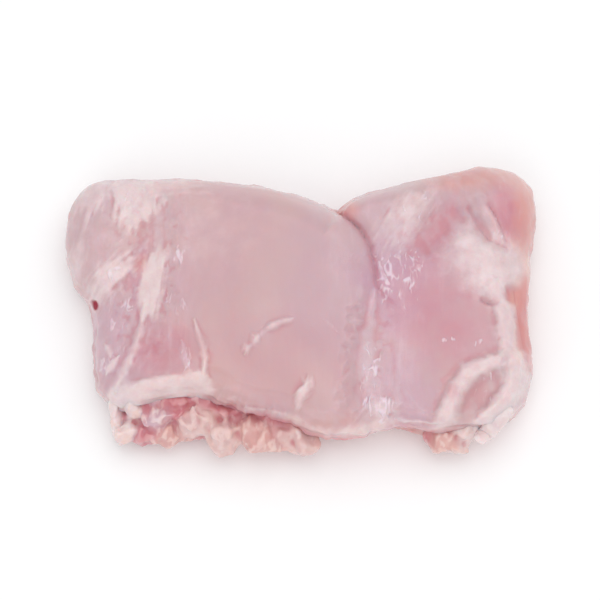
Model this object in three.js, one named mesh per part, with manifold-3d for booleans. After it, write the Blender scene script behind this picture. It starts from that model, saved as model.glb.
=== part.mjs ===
// A raw chicken thigh, boned and skinned, lying smooth side up.
// It is one piece of meat: a broad smooth muscle in the middle, a narrow strip of muscle on its
// left, a folded group of muscles on its right, the fat that clings to them in patches, cords
// and loose tags, and the rough under muscles that swell out below the edge all round.
// Millimetres, +Z up. +X runs across the thigh to the right, +Y to its far edge. The origin is
// at the middle of the flat patch that it rests on.

import * as THREE from 'three';
import { mergeVertices } from 'three/addons/utils/BufferGeometryUtils.js';
import Module from 'manifold-3d';

// Driving dimensions
const LENGTH = 130; // left to right
const WIDTH = 78; // near edge to far edge
const HEIGHT = 24; // the middle muscle at its highest
const LEFT_DROP = 4.5; // how much lower the left strip lies than the middle
const RIGHT_DROP = 3; // how much lower the right muscles lie than the middle
const SAG = 2.2; // how far the top falls away from the middle towards the near and far edges
const FORM_WAVE = 0.55; // height of the slow unevenness all over the meat

// The sheet of outer muscles on top, and the slab of under muscles that it lies on. The rim is
// the widest line round the edge, and a roll is how far in from it a face takes to level out.
// Each pair is the value at the near side, where the sheet ends in a ragged edge above the
// slab, and at the other sides, where it wraps down round the slab.
const SHEET = { rim: [11.8, 7.8], base: [5.2, 0.6], topRoll: [6.5, 14], underRoll: 6.5 };
const SLAB = { rim: 5, topRoll: [7, 7], underRoll: 6, top: 10, inset: [1.5, 5] };
const NEAR_SIDE = { from: -2.62, to: -0.15, fade: 0.5 }; // the near side's span, in radians
const FACE_TURN = THREE.MathUtils.degToRad(66); // part of the rounded edge that the faces cover
const ROLL_SPREAD = 0.6; // how many of a face's cells the rounded edge takes: more is more

// Mesh density
const SHEET_CELLS = [60, 38, 4]; // cells along, across and up the starting box of the sheet
const SLAB_CELLS = [30, 18, 4]; // the same for the slab
const EDGE_STEPS = 12; // samples of the edge between two of its places
const LINE_STEPS = 28; // straight steps along a crease, strip or tag
const TAG_RINGS = 12; // rings along a loose tag of fat
const TAG_SIDES = 10; // sides of a loose tag of fat
const LOBE_RINGS = 7; // rings of a torn lobe
const LOBE_SIDES = 9; // sides of a torn lobe

// Places are shares of half the length and half the width, so the thigh can be resized.
const place = (u, v) => new THREE.Vector3((u * LENGTH) / 2, (v * WIDTH) / 2, 0);

// The edge as seen from above, going round from the far left corner, clockwise.
const EDGE = [
  [-0.91, 0.87], [-0.7, 0.93], [-0.26, 0.9], [-0.06, 0.845], [0.08, 0.78], [0.17, 0.725],
  [0.25, 0.8], [0.4, 0.885], [0.56, 0.95], [0.7, 1], [0.82, 1.04], [0.93, 0.99],
  [0.995, 0.87], [1.015, 0.7], [1, 0.5], [0.972, 0.2], [0.966, 0.04], [0.965, -0.3],
  [0.968, -0.5], [0.948, -0.65], [0.89, -0.785], [0.795, -0.875], [0.68, -0.9], [0.56, -0.9],
  [0.4, -0.87], [0.22, -0.95], [0.06, -0.93], [-0.05, -0.84], [-0.22, -0.78], [-0.38, -0.69],
  [-0.56, -0.7], [-0.72, -0.74], [-0.83, -0.62], [-0.86, -0.38], [-0.87, -0.04], [-0.95, 0.2],
  [-0.985, 0.52],
];

// Creases where two muscles meet and roll down towards each other. Each runs from its far end
// to its near end. `depth` is how deep it is at those ends, and `left` and `right` are how far
// its two shoulders reach, in millimetres, as seen from above with the far side up.
const CREASES = [
  // between the middle muscle and the right one: deep at the far edge, gone by mid thigh
  {
    line: [
      [0.14, 0.78], [0.18, 0.62], [0.255, 0.5], [0.292, 0.38], [0.314, 0.2], [0.322, 0.08], [0.358, 0],
      [0.4, -0.07],
    ],
    depth: [6.3, 0.4], left: 9, right: 8,
  },
  // the slit beside the large fat patch, and the small nick at its near end
  { line: [[0.71, 0.64], [0.75, 0.5], [0.8, 0.4], [0.86, 0.36]], depth: [0.8, 0.6], left: 2.4, right: 3 },
  { line: [[0.755, -0.02], [0.785, -0.045], [0.815, -0.045]], depth: [1.3, 1.3], left: 1.4, right: 1.8 },
  // the bare meat beside the right rim
  { line: [[0.89, 0.05], [0.905, -0.12], [0.925, -0.34]], depth: [0.6, 0.6], left: 2, right: 3 },
];
const CREASE_BOTTOM = 1; // half the width of a crease's blunt bottom

// Swellings and hollows: where each lies, its half sizes in millimetres, how far it is turned
// in degrees, and its height, which is negative for a hollow.
const SWELLS = [
  { at: [0.03, 0.05], half: [32, 34], turn: 0, height: 2.2 }, // belly of the middle muscle
  { at: [0.44, 0.7], half: [17, 8], turn: 10, height: 1.6 }, // far fold of the right muscle
  { at: [0.85, 0.74], half: [11, 10], turn: 0, height: 3.2 }, // folded over far right corner
  { at: [0.79, 0.56], half: [2.8, 5.5], turn: 28, height: 0.8 }, // slip of meat beside the slit
  { at: [0.55, -0.15], half: [14, 17], turn: 0, height: 1.2 }, // belly of the right muscle
  { at: [0.755, 0.24], half: [12, 9.6], turn: -22, height: 1.5 }, // rise under the large fat patch
  { at: [-0.8, 0.25], half: [8, 24], turn: 4, height: 1.4 }, // belly of the left strip
  { at: [-0.55, -0.38], half: [8, 6.6], turn: 0, height: -2.4 }, // window between the fat cords
  { at: [0.73, -0.7], half: [7, 3.6], turn: 52, height: -0.6 }, // hollow inside the fat loop
];
const SWELL_FOOT = 1.25; // where a swelling's foot lies, as a share of its half sizes

// Flat patches of fat lying on the meat, given the same way.
const PATCHES = [
  { at: [-0.685, 0.67], half: [5.6, 6.4], turn: 0, height: 0.8 },
  { at: [-0.785, 0.155], half: [7.6, 3.6], turn: 42, height: 0.8 },
  { at: [-0.87, 0.78], half: [4, 6.5], turn: -10, height: 0.5 },
  { at: [0.42, 0.52], half: [9, 5], turn: 58, height: 0.4 },
  { at: [0.79, 0.2], half: [12, 7.4], turn: -18, height: 0.7 },
];
const PATCH_FOOT = 1.3; // where a patch's foot lies, as a share of its half sizes
const PATCH_TOP = 0.5; // where its level top starts, measured the same way

// Strips that lie on the meat, with their half width and height in millimetres: cords of fat,
// which stand up with steep sides, low ridges of membrane, and, below 0, shallow grooves.
const STRIPS = [
  // the groove between the left strip of muscle and the middle one
  {
    line: [[-0.6, 0.98], [-0.595, 0.6], [-0.6, 0.26], [-0.62, -0.02], [-0.66, -0.31], [-0.74, -0.6]],
    half: 7, height: -1.7,
  },
  // the groove that sets the far right fold apart from the muscle in front of it
  { line: [[0.33, 0.36], [0.55, 0.41], [0.63, 0.57], [0.69, 0.72]], half: 5.5, height: -0.9 },
  // the shallow valley that goes on from the crease to the near edge, and the silvery ridge in it
  { line: [[0.36, 0.06], [0.3, -0.16], [0.27, -0.42], [0.25, -0.7], [0.22, -1.1]], half: 5.5, height: -1.3 },
  {
    line: [[0.315, 0.04], [0.29, -0.24], [0.275, -0.5], [0.31, -0.72], [0.36, -0.84]],
    half: 2.4, height: 0.4,
  },
  // the fat in the left groove, and the two ridges and the band round the window
  { line: [[-0.6, 0.3], [-0.61, 0.14], [-0.625, -0.02], [-0.64, -0.16]], half: 2.4, height: 0.8 },
  { line: [[-0.63, -0.04], [-0.655, -0.26], [-0.69, -0.44], [-0.755, -0.64]], half: 1.3, height: 0.7 },
  { line: [[-0.425, -0.18], [-0.395, -0.34], [-0.38, -0.46], [-0.385, -0.58]], half: 1.3, height: 0.6 },
  {
    line: [[-0.75, -0.7], [-0.66, -0.67], [-0.56, -0.65], [-0.44, -0.625], [-0.405, -0.6]],
    half: 2.5, height: 1.2, cord: true,
  },
  // the strip of fat along the right rim, and the two cords of the loop at its near end
  {
    line: [[0.81, 0.06], [0.83, -0.03], [0.85, -0.15], [0.86, -0.34], [0.89, -0.52]],
    half: 3, height: 1.7, cord: true,
  },
  {
    line: [[0.92, -0.42], [0.8, -0.46], [0.7, -0.53], [0.64, -0.65], [0.605, -0.78], [0.58, -0.9]],
    half: 2.7, height: 2, cord: true,
  },
  {
    line: [[0.875, -0.48], [0.885, -0.59], [0.855, -0.7], [0.805, -0.79], [0.76, -0.865]],
    half: 3.4, height: 3, cord: true,
  },
];
const SHOULDER = 1.2; // where a strip's side starts, as a share of its half width
const CORD_TOP = 0.25; // where a cord's level top starts, measured the same way
const GROOVE_END = 0.3; // share of a groove's length over which it fades at each end

// Loose tags of fat at the edge, from root to tip. `sink` is how deep a tag's middle line lies in
// the sheet at its root, `droop` is how much deeper it lies at the tip, and `radius` is the
// thickness at root and tip, in millimetres.
const TAGS = [
  // the free end of the fat loop
  {
    line: [[0.86, -0.74], [0.81, -0.83], [0.768, -0.91], [0.735, -0.975]],
    sink: 2.3, droop: -3.6, radius: [3.3, 2.7],
  },
  // two short ones at the near left corner
  {
    line: [[-0.74, -0.62], [-0.757, -0.74], [-0.755, -0.85], [-0.735, -0.94]],
    sink: 0.9, droop: 4, radius: [2.2, 2.1],
  },
  { line: [[-0.7, -0.62], [-0.685, -0.73], [-0.645, -0.83]], sink: 0.9, droop: 2.8, radius: [2.2, 2] },
  // one at the far left corner
  { line: [[-0.86, 0.78], [-0.94, 0.62], [-0.965, 0.4]], sink: 2.6, droop: 3, radius: [3.4, 2.2] },
];
const TAG_FLATNESS = 0.75; // a tag's height as a share of its width
const TAG_TILT = { step: 2, limit: 0.8 }; // how a tag's sides follow the sheet's slope

// Torn lobes of fat and meat under the near edge: the place and height of the middle, the half
// sizes in millimetres, and the turn in degrees.
const LOBES = [
  // the meat that the torn lobes grow from
  { at: [-0.4, -0.68], height: 8.6, half: [23, 5, 4.6], turn: -3 },
  { at: [-0.41, -0.8], height: 5.2, half: [21, 5, 4.6], turn: -3 },
  { at: [-0.1, -0.84], height: 7, half: [13, 5, 4.8], turn: -8 },
  { at: [0.63, -0.89], height: 6.6, half: [7.5, 4, 3.6], turn: 0 },
  // the lobes, from left to right
  { at: [-0.705, -0.89], height: 7.6, half: [3.2, 2.6, 2.4], turn: 15 },
  { at: [-0.625, -0.88], height: 6.6, half: [4, 3.4, 3], turn: 10 },
  { at: [-0.535, -0.91], height: 7.2, half: [3.4, 4, 3], turn: 80 },
  { at: [-0.49, -0.76], height: 10.6, half: [5.2, 3.2, 2.4], turn: 5 },
  { at: [-0.415, -0.83], height: 10.2, half: [5, 4.4, 3.8], turn: 20 },
  { at: [-0.305, -0.91], height: 8.6, half: [4.8, 4.4, 3.8], turn: 25 },
  { at: [-0.165, -0.92], height: 8.8, half: [7.6, 5.2, 4.6], turn: -8 },
  { at: [-0.02, -0.92], height: 8.6, half: [7.2, 4, 3.6], turn: -24 },
  { at: [0.62, -0.94], height: 7.8, half: [5.2, 4.2, 3.2], turn: -8 },
  { at: [0.685, -0.88], height: 9.6, half: [3.2, 3, 2.8], turn: 20 },
];

// Where the under muscles swell out past the sheet, or draw in under it: the place on the edge,
// how far along the edge it reaches, and how far out it goes, in millimetres.
const BULGES = [
  { at: [-0.4, -0.72], reach: 6, out: 4.5 },
  { at: [-0.19, -0.8], reach: 10, out: 5.5 },
  { at: [0.14, -0.95], reach: 10, out: -1.5 },
  { at: [0.6, -0.92], reach: 8, out: 3.5 },
  { at: [0.95, -0.12], reach: 12, out: 5.5 },
  { at: [0.2, 0.68], reach: 7, out: 4.5 },
  { at: [-0.96, 0.42], reach: 10, out: 4.2 },
  { at: [-0.84, -0.5], reach: 9, out: 3 },
];

// Smooth rise from 0 to 1 as x goes from a to b.
const rise = (a, b, x) => THREE.MathUtils.smoothstep((x - a) / (b - a), 0, 1);

// Quarter circle from 0 at x = 0 to 1 at x = 1, level beyond.
function roll(x) {
  const t = 1 - THREE.MathUtils.clamp(x, 0, 1);
  return Math.sqrt(1 - t * t);
}

// Slow unevenness of the meat, between about -1 and 1.
function wave(x, y) {
  return (
    0.45 * Math.sin(0.11 * x + 0.07 * y + 0.6) +
    0.35 * Math.sin(0.19 * y - 0.08 * x + 2.1) +
    0.3 * Math.sin(0.27 * x + 0.16 * y + 4.0) * Math.cos(0.21 * y - 0.5)
  );
}

// A curve through the given places, which can say how near a point is to it.
class Line {
  constructor(places) {
    const curve = new THREE.CatmullRomCurve3(places.map(([u, v]) => place(u, v)), false, 'centripetal');
    this.points = curve.getPoints(LINE_STEPS);
  }

  // How near (x, y) is to the line: the distance, the side, which is 1 to the left of the line
  // as seen going along it from its start and -1 to its right, and how far along it the nearest
  // point is, from 0 to 1.
  nearest(x, y) {
    let best = { distance: Infinity, side: 1, along: 0 };
    for (let i = 0; i < this.points.length - 1; i += 1) {
      const a = this.points[i];
      const b = this.points[i + 1];
      const dx = b.x - a.x;
      const dy = b.y - a.y;
      const share = THREE.MathUtils.clamp(((x - a.x) * dx + (y - a.y) * dy) / (dx * dx + dy * dy), 0, 1);
      const distance = Math.hypot(x - a.x - share * dx, y - a.y - share * dy);
      if (distance < best.distance) {
        const side = dx * (y - a.y) - dy * (x - a.x) < 0 ? -1 : 1;
        best = { distance, side, along: (i + share) / (this.points.length - 1) };
      }
    }
    return best;
  }
}

for (const feature of [...CREASES, ...STRIPS]) feature.path = new Line(feature.line);

// How far (x, y) is from the middle of an oval, as a share of the oval's half sizes.
function ovalShare(oval, x, y) {
  const middle = place(...oval.at);
  const turn = THREE.MathUtils.degToRad(oval.turn);
  const dx = x - middle.x;
  const dy = y - middle.y;
  const along = dx * Math.cos(turn) + dy * Math.sin(turn);
  const across = dy * Math.cos(turn) - dx * Math.sin(turn);
  return Math.hypot(along / oval.half[0], across / oval.half[1]);
}

// How far a crease lowers the top at (x, y).
function creaseDrop(crease, x, y) {
  const { distance, side, along } = crease.path.nearest(x, y);
  const reach = side > 0 ? crease.right : crease.left;
  const depth = THREE.MathUtils.lerp(crease.depth[0], crease.depth[1], along);
  return depth * (1 - roll(Math.hypot(distance, CREASE_BOTTOM) / reach));
}

// How far a strip raises the top at (x, y), or lowers it if it is a groove.
function stripLift(strip, x, y) {
  const { distance, along } = strip.path.nearest(x, y);
  const lift = strip.height * rise(SHOULDER, strip.cord ? CORD_TOP : 0, distance / strip.half);
  return strip.height < 0 ? lift * rise(0, GROOVE_END, Math.min(along, 1 - along)) : lift;
}

// Height of the top surface at (x, y), before it rolls down to the edge.
function topHeight(x, y) {
  let z = HEIGHT - SAG;
  z -= LEFT_DROP * rise(-30, -52, x) + RIGHT_DROP * rise(8, 28, x);
  z -= SAG * (y / (WIDTH / 2)) ** 2;
  z += FORM_WAVE * wave(x, y);
  for (const swell of SWELLS) z += swell.height * rise(SWELL_FOOT, 0, ovalShare(swell, x, y));
  for (const patch of PATCHES) z += patch.height * rise(PATCH_FOOT, PATCH_TOP, ovalShare(patch, x, y));
  for (const crease of CREASES) z -= creaseDrop(crease, x, y);
  for (const strip of STRIPS) z += stripLift(strip, x, y);
  return z;
}

// The edge's distance from the origin in each direction, from the EDGE places.
const edgeSamples = new THREE.CatmullRomCurve3(EDGE.map(([u, v]) => place(u, v)), true, 'centripetal')
  .getPoints(EDGE.length * EDGE_STEPS)
  .map((p) => ({ angle: Math.atan2(p.y, p.x), radius: Math.hypot(p.x, p.y) }))
  .sort((a, b) => a.angle - b.angle);

function edgeRadius(angle) {
  const last = edgeSamples.length - 1;
  const next = edgeSamples.findIndex((sample) => sample.angle > angle);
  const b = edgeSamples[next < 0 ? 0 : next];
  const a = edgeSamples[next <= 0 ? last : next - 1];
  const full = 2 * Math.PI;
  const gap = (b.angle - a.angle + full) % full;
  return THREE.MathUtils.lerp(a.radius, b.radius, gap ? ((angle - a.angle + full) % full) / gap : 0);
}

// How far the sheet wraps round the slab in each direction, from 0 at the near side to 1.
function wrap(angle) {
  const { from, to, fade } = NEAR_SIDE;
  return Math.max(rise(from + fade, from, angle), rise(to - fade, to, angle));
}

// A pair's value in each direction.
const wrapped = ([near, other], angle) => THREE.MathUtils.lerp(near, other, wrap(angle));

// The under muscles' edge: drawn in by the slab's inset, and swelling out at the bulges.
function slabRadius(angle) {
  const radius = edgeRadius(angle) - wrapped(SLAB.inset, angle);
  const [x, y] = [radius * Math.cos(angle), radius * Math.sin(angle)];
  return BULGES.reduce((sum, bulge) => {
    const middle = place(...bulge.at);
    return sum + bulge.out * Math.exp(-(((x - middle.x) ** 2 + (y - middle.y) ** 2) / bulge.reach ** 2));
  }, radius);
}

// How the rim rises and dips round the edge.
const rimWave = (angle, phase) => 1.1 * Math.sin(3 * angle + phase) + 0.8 * Math.sin(7 * angle + 2 * phase);

// A rounded slab: the faces of a box laid over a level top and base, with the top and base
// rolling over to meet at the rim.
function slabGeometry({ cells, radiusAt, topAt, rimAt, baseAt, topRoll, underRoll }) {
  const geometry = new THREE.BoxGeometry(2, 2, 2, ...cells);
  const position = geometry.getAttribute('position');
  for (let i = 0; i < position.count; i += 1) {
    const [u, v, w] = [position.getX(i), position.getY(i), position.getZ(i)];
    const angle = Math.atan2(v * WIDTH, u * LENGTH);
    const radius = radiusAt(angle);
    const rollWidth = w > 0 ? wrapped(topRoll, angle) : underRoll;
    const share = Math.max(Math.abs(u), Math.abs(v));
    const level = (radius - rollWidth) / (radius + ROLL_SPREAD * rollWidth);
    const isFace = Math.abs(w) > 1 - 1e-6;
    let turn = THREE.MathUtils.lerp(Math.PI / 2, FACE_TURN, Math.abs(w));
    if (isFace) turn = FACE_TURN * Math.max(0, (share - level) / (1 - level));
    let inward = rollWidth * (1 - Math.sin(turn));
    if (isFace && share < level) inward = radius - (share / level) * (radius - rollWidth);
    const x = (radius - inward) * Math.cos(angle);
    const y = (radius - inward) * Math.sin(angle);
    const z = THREE.MathUtils.lerp(rimAt(angle), w > 0 ? topAt(x, y) : baseAt(angle), Math.cos(turn));
    position.setXYZ(i, x, y, z);
  }
  return geometry;
}

// The sheet of outer muscles, with all the relief of the top.
const sheetGeometry = () =>
  slabGeometry({
    cells: SHEET_CELLS,
    radiusAt: edgeRadius,
    topAt: topHeight,
    rimAt: (angle) => wrapped(SHEET.rim, angle) + rimWave(angle, 0.7),
    baseAt: (angle) => wrapped(SHEET.base, angle),
    topRoll: SHEET.topRoll,
    underRoll: SHEET.underRoll,
  });

// The slab of under muscles, flat where the meat rests.
const underGeometry = () =>
  slabGeometry({
    cells: SLAB_CELLS,
    radiusAt: slabRadius,
    topAt: () => SLAB.top,
    rimAt: (angle) => SLAB.rim + rimWave(angle, 2.9) / 2,
    baseAt: () => 0,
    topRoll: SLAB.topRoll,
    underRoll: SLAB.underRoll,
  });

// Height of the sheet at (x, y), roll and rim included.
function sheetHeight(x, y) {
  const angle = Math.atan2(y, x);
  const inward = edgeRadius(angle) - Math.hypot(x, y);
  const share = inward / wrapped(SHEET.topRoll, angle);
  return THREE.MathUtils.lerp(wrapped(SHEET.rim, angle), topHeight(x, y), roll(share));
}

// How steeply the sheet rises at a point towards a level direction.
function sheetSlope(point, towards) {
  const { step, limit } = TAG_TILT;
  const [dx, dy] = [step * towards.x, step * towards.y];
  const climb = sheetHeight(point.x + dx, point.y + dy) - sheetHeight(point.x - dx, point.y - dy);
  return THREE.MathUtils.clamp(climb / (2 * step), -limit, limit);
}

// A loose tag of fat: a sphere drawn out along the tag's line, which lies on the sheet, tilts
// with it and droops past its edge.
function tagGeometry({ line, sink, droop, radius }) {
  const points = line.map(([u, v], i) => {
    const point = place(u, v);
    return point.setZ(sheetHeight(point.x, point.y) - sink - droop * (i / (line.length - 1)) ** 2);
  });
  const curve = new THREE.CatmullRomCurve3(points, false, 'centripetal');
  const geometry = new THREE.SphereGeometry(1, TAG_SIDES, TAG_RINGS);
  const position = geometry.getAttribute('position');
  const up = new THREE.Vector3(0, 0, 1);
  for (let i = 0; i < position.count; i += 1) {
    const share = (1 - position.getY(i)) / 2;
    const centre = curve.getPointAt(share);
    const ahead = curve.getTangentAt(share);
    const aside = new THREE.Vector3().crossVectors(up, ahead).normalize();
    aside.setZ(sheetSlope(centre, aside)).normalize();
    const over = new THREE.Vector3().crossVectors(ahead, aside);
    const thick = THREE.MathUtils.lerp(radius[0], radius[1], share);
    const blunt = thick * Math.max(Math.hypot(position.getX(i), position.getZ(i)), 1e-6) ** -0.5;
    centre.addScaledVector(aside, position.getX(i) * blunt);
    centre.addScaledVector(over, position.getZ(i) * blunt * TAG_FLATNESS);
    position.setXYZ(i, centre.x, centre.y, centre.z);
  }
  return geometry;
}

// A torn lobe: a sphere stretched to its half sizes, turned and set in its place.
function lobeGeometry({ at, height, half, turn }) {
  const geometry = new THREE.SphereGeometry(1, LOBE_SIDES, LOBE_RINGS);
  geometry.scale(...half);
  geometry.rotateZ(THREE.MathUtils.degToRad(turn));
  const middle = place(...at);
  return geometry.translate(middle.x, middle.y, height);
}

// A closed geometry as a solid, with the doubled vertices joined and empty triangles left out.
function solidOf(wasm, geometry) {
  const bare = geometry.clone();
  bare.deleteAttribute('normal');
  bare.deleteAttribute('uv');
  const merged = mergeVertices(bare, 1e-3);
  const index = Array.from(merged.index.array);
  const triangles = [];
  for (let i = 0; i < index.length; i += 3) {
    const [a, b, c] = index.slice(i, i + 3);
    if (a !== b && b !== c && c !== a) triangles.push(a, b, c);
  }
  return new wasm.Manifold(
    new wasm.Mesh({
      numProp: 3,
      vertProperties: new Float32Array(merged.getAttribute('position').array),
      triVerts: new Uint32Array(triangles),
    }),
  );
}

// A solid as a geometry.
function geometryOf(solid) {
  const mesh = solid.getMesh();
  const geometry = new THREE.BufferGeometry();
  geometry.setAttribute('position', new THREE.BufferAttribute(mesh.vertProperties, 3));
  geometry.setIndex(new THREE.BufferAttribute(mesh.triVerts, 1));
  geometry.computeVertexNormals();
  return geometry;
}

const wasm = await Module();
wasm.setup();

const pieces = [sheetGeometry(), underGeometry(), ...TAGS.map(tagGeometry), ...LOBES.map(lobeGeometry)];
const meat = pieces.map((piece) => solidOf(wasm, piece)).reduce((whole, piece) => whole.add(piece));

const thigh = new THREE.Mesh(
  geometryOf(meat),
  new THREE.MeshStandardMaterial({ color: 0xd5aaad, roughness: 0.35, metalness: 0 }),
);
thigh.name = 'thigh';

// The origin goes to the middle of the thigh's extent, at the level that it rests on.
thigh.geometry.computeBoundingBox();
const { min, max } = thigh.geometry.boundingBox;
thigh.position.set(-(min.x + max.x) / 2, -(min.y + max.y) / 2, -min.z);

const model = new THREE.Group();
model.add(thigh);

export default model;
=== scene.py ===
"""A raw, boned and skinned chicken thigh on a pale table under soft studio light.

The thigh is dressed in four kinds of piece. The outer muscles are one broad sheet whose relief holds the
muscles, creases, fat patches and fat cords. Under it lies the slab of under muscles. Loose tags of fat and
torn lobes of fat and meat stand out at the edge. Forms are worked out in millimetres in the thigh's own plan,
where a place is a share of half its length and half its width.
"""

import logging
import math
from dataclasses import dataclass, field
from enum import Enum
from functools import cached_property
from typing import Any, Callable

import bmesh
import bpy
import numpy as np
from mathutils import Euler, Matrix, Vector
from mathutils.kdtree import KDTree


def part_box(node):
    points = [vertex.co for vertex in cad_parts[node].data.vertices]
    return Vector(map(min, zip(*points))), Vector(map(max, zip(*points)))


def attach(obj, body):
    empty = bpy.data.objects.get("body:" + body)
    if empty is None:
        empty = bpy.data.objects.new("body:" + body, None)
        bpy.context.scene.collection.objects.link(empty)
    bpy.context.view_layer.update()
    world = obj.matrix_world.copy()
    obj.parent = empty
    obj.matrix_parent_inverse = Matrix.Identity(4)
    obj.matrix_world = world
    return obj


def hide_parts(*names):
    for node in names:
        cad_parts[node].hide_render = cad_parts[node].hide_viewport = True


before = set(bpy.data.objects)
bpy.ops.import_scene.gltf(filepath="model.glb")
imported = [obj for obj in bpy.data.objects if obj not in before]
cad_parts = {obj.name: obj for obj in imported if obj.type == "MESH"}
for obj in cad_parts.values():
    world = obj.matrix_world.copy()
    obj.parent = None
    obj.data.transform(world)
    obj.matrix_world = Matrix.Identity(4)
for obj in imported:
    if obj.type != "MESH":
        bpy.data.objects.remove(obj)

log = logging.getLogger("thigh")

Array = np.ndarray
Place = tuple[float, float]
Colour = tuple[float, float, float]
Size = tuple[float, float, float]

MM = 0.001
BODY = "root"
NODE = "thigh"


class Tissue(Enum):
    """What a stretch of surface is made of, by the attribute that says how much of it there is. The fat, film
    and silvery wrinkles also lay painted highlights, and the deep red also lays painted shade.
    """

    FAT = "fat"
    FILM = "film"
    SILVER = "silver"
    ROSE = "rose"
    MAUVE = "mauve"
    SALMON = "salmon"
    DEEP = "deep"
    BLOOD = "blood"


def rise(start: float, end: float, value: Array) -> Array:
    """Smooth step.

    Args:
        start: Value where the step is 0.
        end: Value where the step is 1.
        value: Values to look up.

    Returns:
        The step at each value, from 0 to 1.
    """
    share = np.clip((value - start) / (end - start), 0, 1)
    return share * share * (3 - 2 * share)


def roll(value: Array) -> Array:
    """Quarter circle, which a surface follows as it rolls over.

    Args:
        value: Values to look up.

    Returns:
        The height at each value, from 0 at 0 to 1 at 1 and level beyond.
    """
    share = 1 - np.clip(value, 0, 1)
    return np.sqrt(1 - share * share)


def blend(start: Any, end: Any, share: Any) -> Any:
    """Value between `start` and `end`."""
    return start + (end - start) * share


class Noise:
    """Smooth random unevenness through space, the same on each run."""

    TABLE = 256
    RANGE = 1.6
    LAYER_SHIFT = 7.3

    def __init__(self, seed: int) -> None:
        """Draws the table of slopes.

        Args:
            seed: Seed of the draw.
        """
        draw = np.random.default_rng(seed)
        self.order = np.tile(draw.permutation(self.TABLE), 2)
        slopes = draw.normal(size=(self.TABLE, 3))
        self.slopes = slopes / np.linalg.norm(slopes, axis=1)[:, None]

    def at(self, points: Array) -> Array:
        """One layer of noise.

        Args:
            points: Rows of x, y and z, where a step of 1 is one wave.

        Returns:
            The noise at each point, mostly between -1 and 1.
        """
        cell = np.floor(points).astype(int)
        part = points - cell
        ease = part**3 * (part * (part * 6 - 15) + 10)
        total = np.zeros(len(points))
        for corner in np.ndindex(2, 2, 2):
            spot = (cell + corner) % self.TABLE
            row = self.order[self.order[self.order[spot[:, 0]] + spot[:, 1]] + spot[:, 2]]
            weight = np.prod(np.where(corner, ease, 1 - ease), axis=1)
            total += weight * np.einsum("ij,ij->i", self.slopes[row], part - corner)
        return total * self.RANGE

    def layers(self, points: Array, count: int = 3) -> Array:
        """Noise with finer and weaker layers on top.

        Args:
            points: Rows of x, y and z, where a step of 1 is one wave of the coarsest layer.
            count: Number of layers.

        Returns:
            The noise at each point, mostly between -1 and 1.
        """
        steps = range(count)
        return sum(self.at(points * 2.0**layer + self.LAYER_SHIFT * layer) * 0.5**layer for layer in steps)


LUMPS = Noise(11)
FIBRES = Noise(23)
EDGES = Noise(37)
SPREAD = Noise(51)


def flat_points(x: Array, y: Array, depth: float = 0.5) -> Array:
    """Rows of x, y and one depth, to look up noise over the plan."""
    return np.stack([x, y, np.full_like(x, depth)], axis=1)


def turned(x: Array, y: Array, degrees: float) -> tuple[Array, Array]:
    """Distances along and across a direction.

    Args:
        x: Distances to the right.
        y: Distances to the far side.
        degrees: Turn of the direction from +X.

    Returns:
        The distances along the direction and across it.
    """
    turn = math.radians(degrees)
    return x * math.cos(turn) + y * math.sin(turn), y * math.cos(turn) - x * math.sin(turn)


def curve_through(corners: Array, steps: int, closed: bool = False) -> Array:
    """Smooth curve through a few points.

    Args:
        corners: The points, one a row.
        steps: Straight steps between two of them.
        closed: Whether the curve runs back to its start.

    Returns:
        Points along the curve, one a row.
    """
    if closed:
        corners = np.concatenate([corners[-1:], corners, corners[:2]])
    else:
        corners = np.concatenate([2 * corners[:1] - corners[1:2], corners, 2 * corners[-1:] - corners[-2:-1]])
    share = np.linspace(0, 1, steps, endpoint=False)[:, None]
    runs = []
    for before, start, end, after in zip(corners, corners[1:], corners[2:], corners[3:]):
        gaps = [math.dist(a, b) ** 0.5 for a, b in ((before, start), (start, end), (end, after))]
        middle = (end - start) / gaps[1]
        leave = middle + (start - before) / gaps[0] - (end - before) / (gaps[0] + gaps[1])
        arrive = middle + (after - end) / gaps[2] - (after - start) / (gaps[1] + gaps[2])
        leave, arrive = leave * gaps[1], arrive * gaps[1]
        bend = 2 * start - 2 * end + leave + arrive
        turn = 3 * end - 3 * start - 2 * leave - arrive
        runs.append(bend * share**3 + turn * share**2 + leave * share + start)
    if not closed:
        runs.append(corners[-2:-1])
    return np.concatenate(runs)


class Ground:
    """Points over the plan, with the unevenness that everything on them shares."""

    def __init__(self, x: Array, y: Array) -> None:
        """Keeps the points.

        Args:
            x: Distances to the right.
            y: Distances to the far side.
        """
        self.x = x
        self.y = y

    def noise(self, noise: Noise, wave: float, depth: float, count: int = 3) -> Array:
        """Layered noise over the points.

        Args:
            noise: The noise.
            wave: Length of its coarsest waves.
            depth: Which slice of the noise.
            count: Layers of noise.

        Returns:
            The noise at each point.
        """
        return noise.layers(flat_points(self.x, self.y, depth) / wave, count)

    @cached_property
    def patchy(self) -> Array:
        """Unevenness that a zone of tissue ends with."""
        return self.noise(EDGES, 9, 3.5, 4)

    @cached_property
    def cloudy(self) -> Array:
        """Unevenness of how much tissue a zone holds."""
        return self.noise(SPREAD, 4.5, 6.5)

    @cached_property
    def frayed(self) -> Array:
        """Unevenness that a strip of tissue ends with."""
        return self.noise(EDGES, 2.5, 0.5)

    @cached_property
    def lumpy(self) -> Array:
        """Unevenness of a strip's thickness."""
        return self.noise(LUMPS, 3, 0.5)


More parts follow.
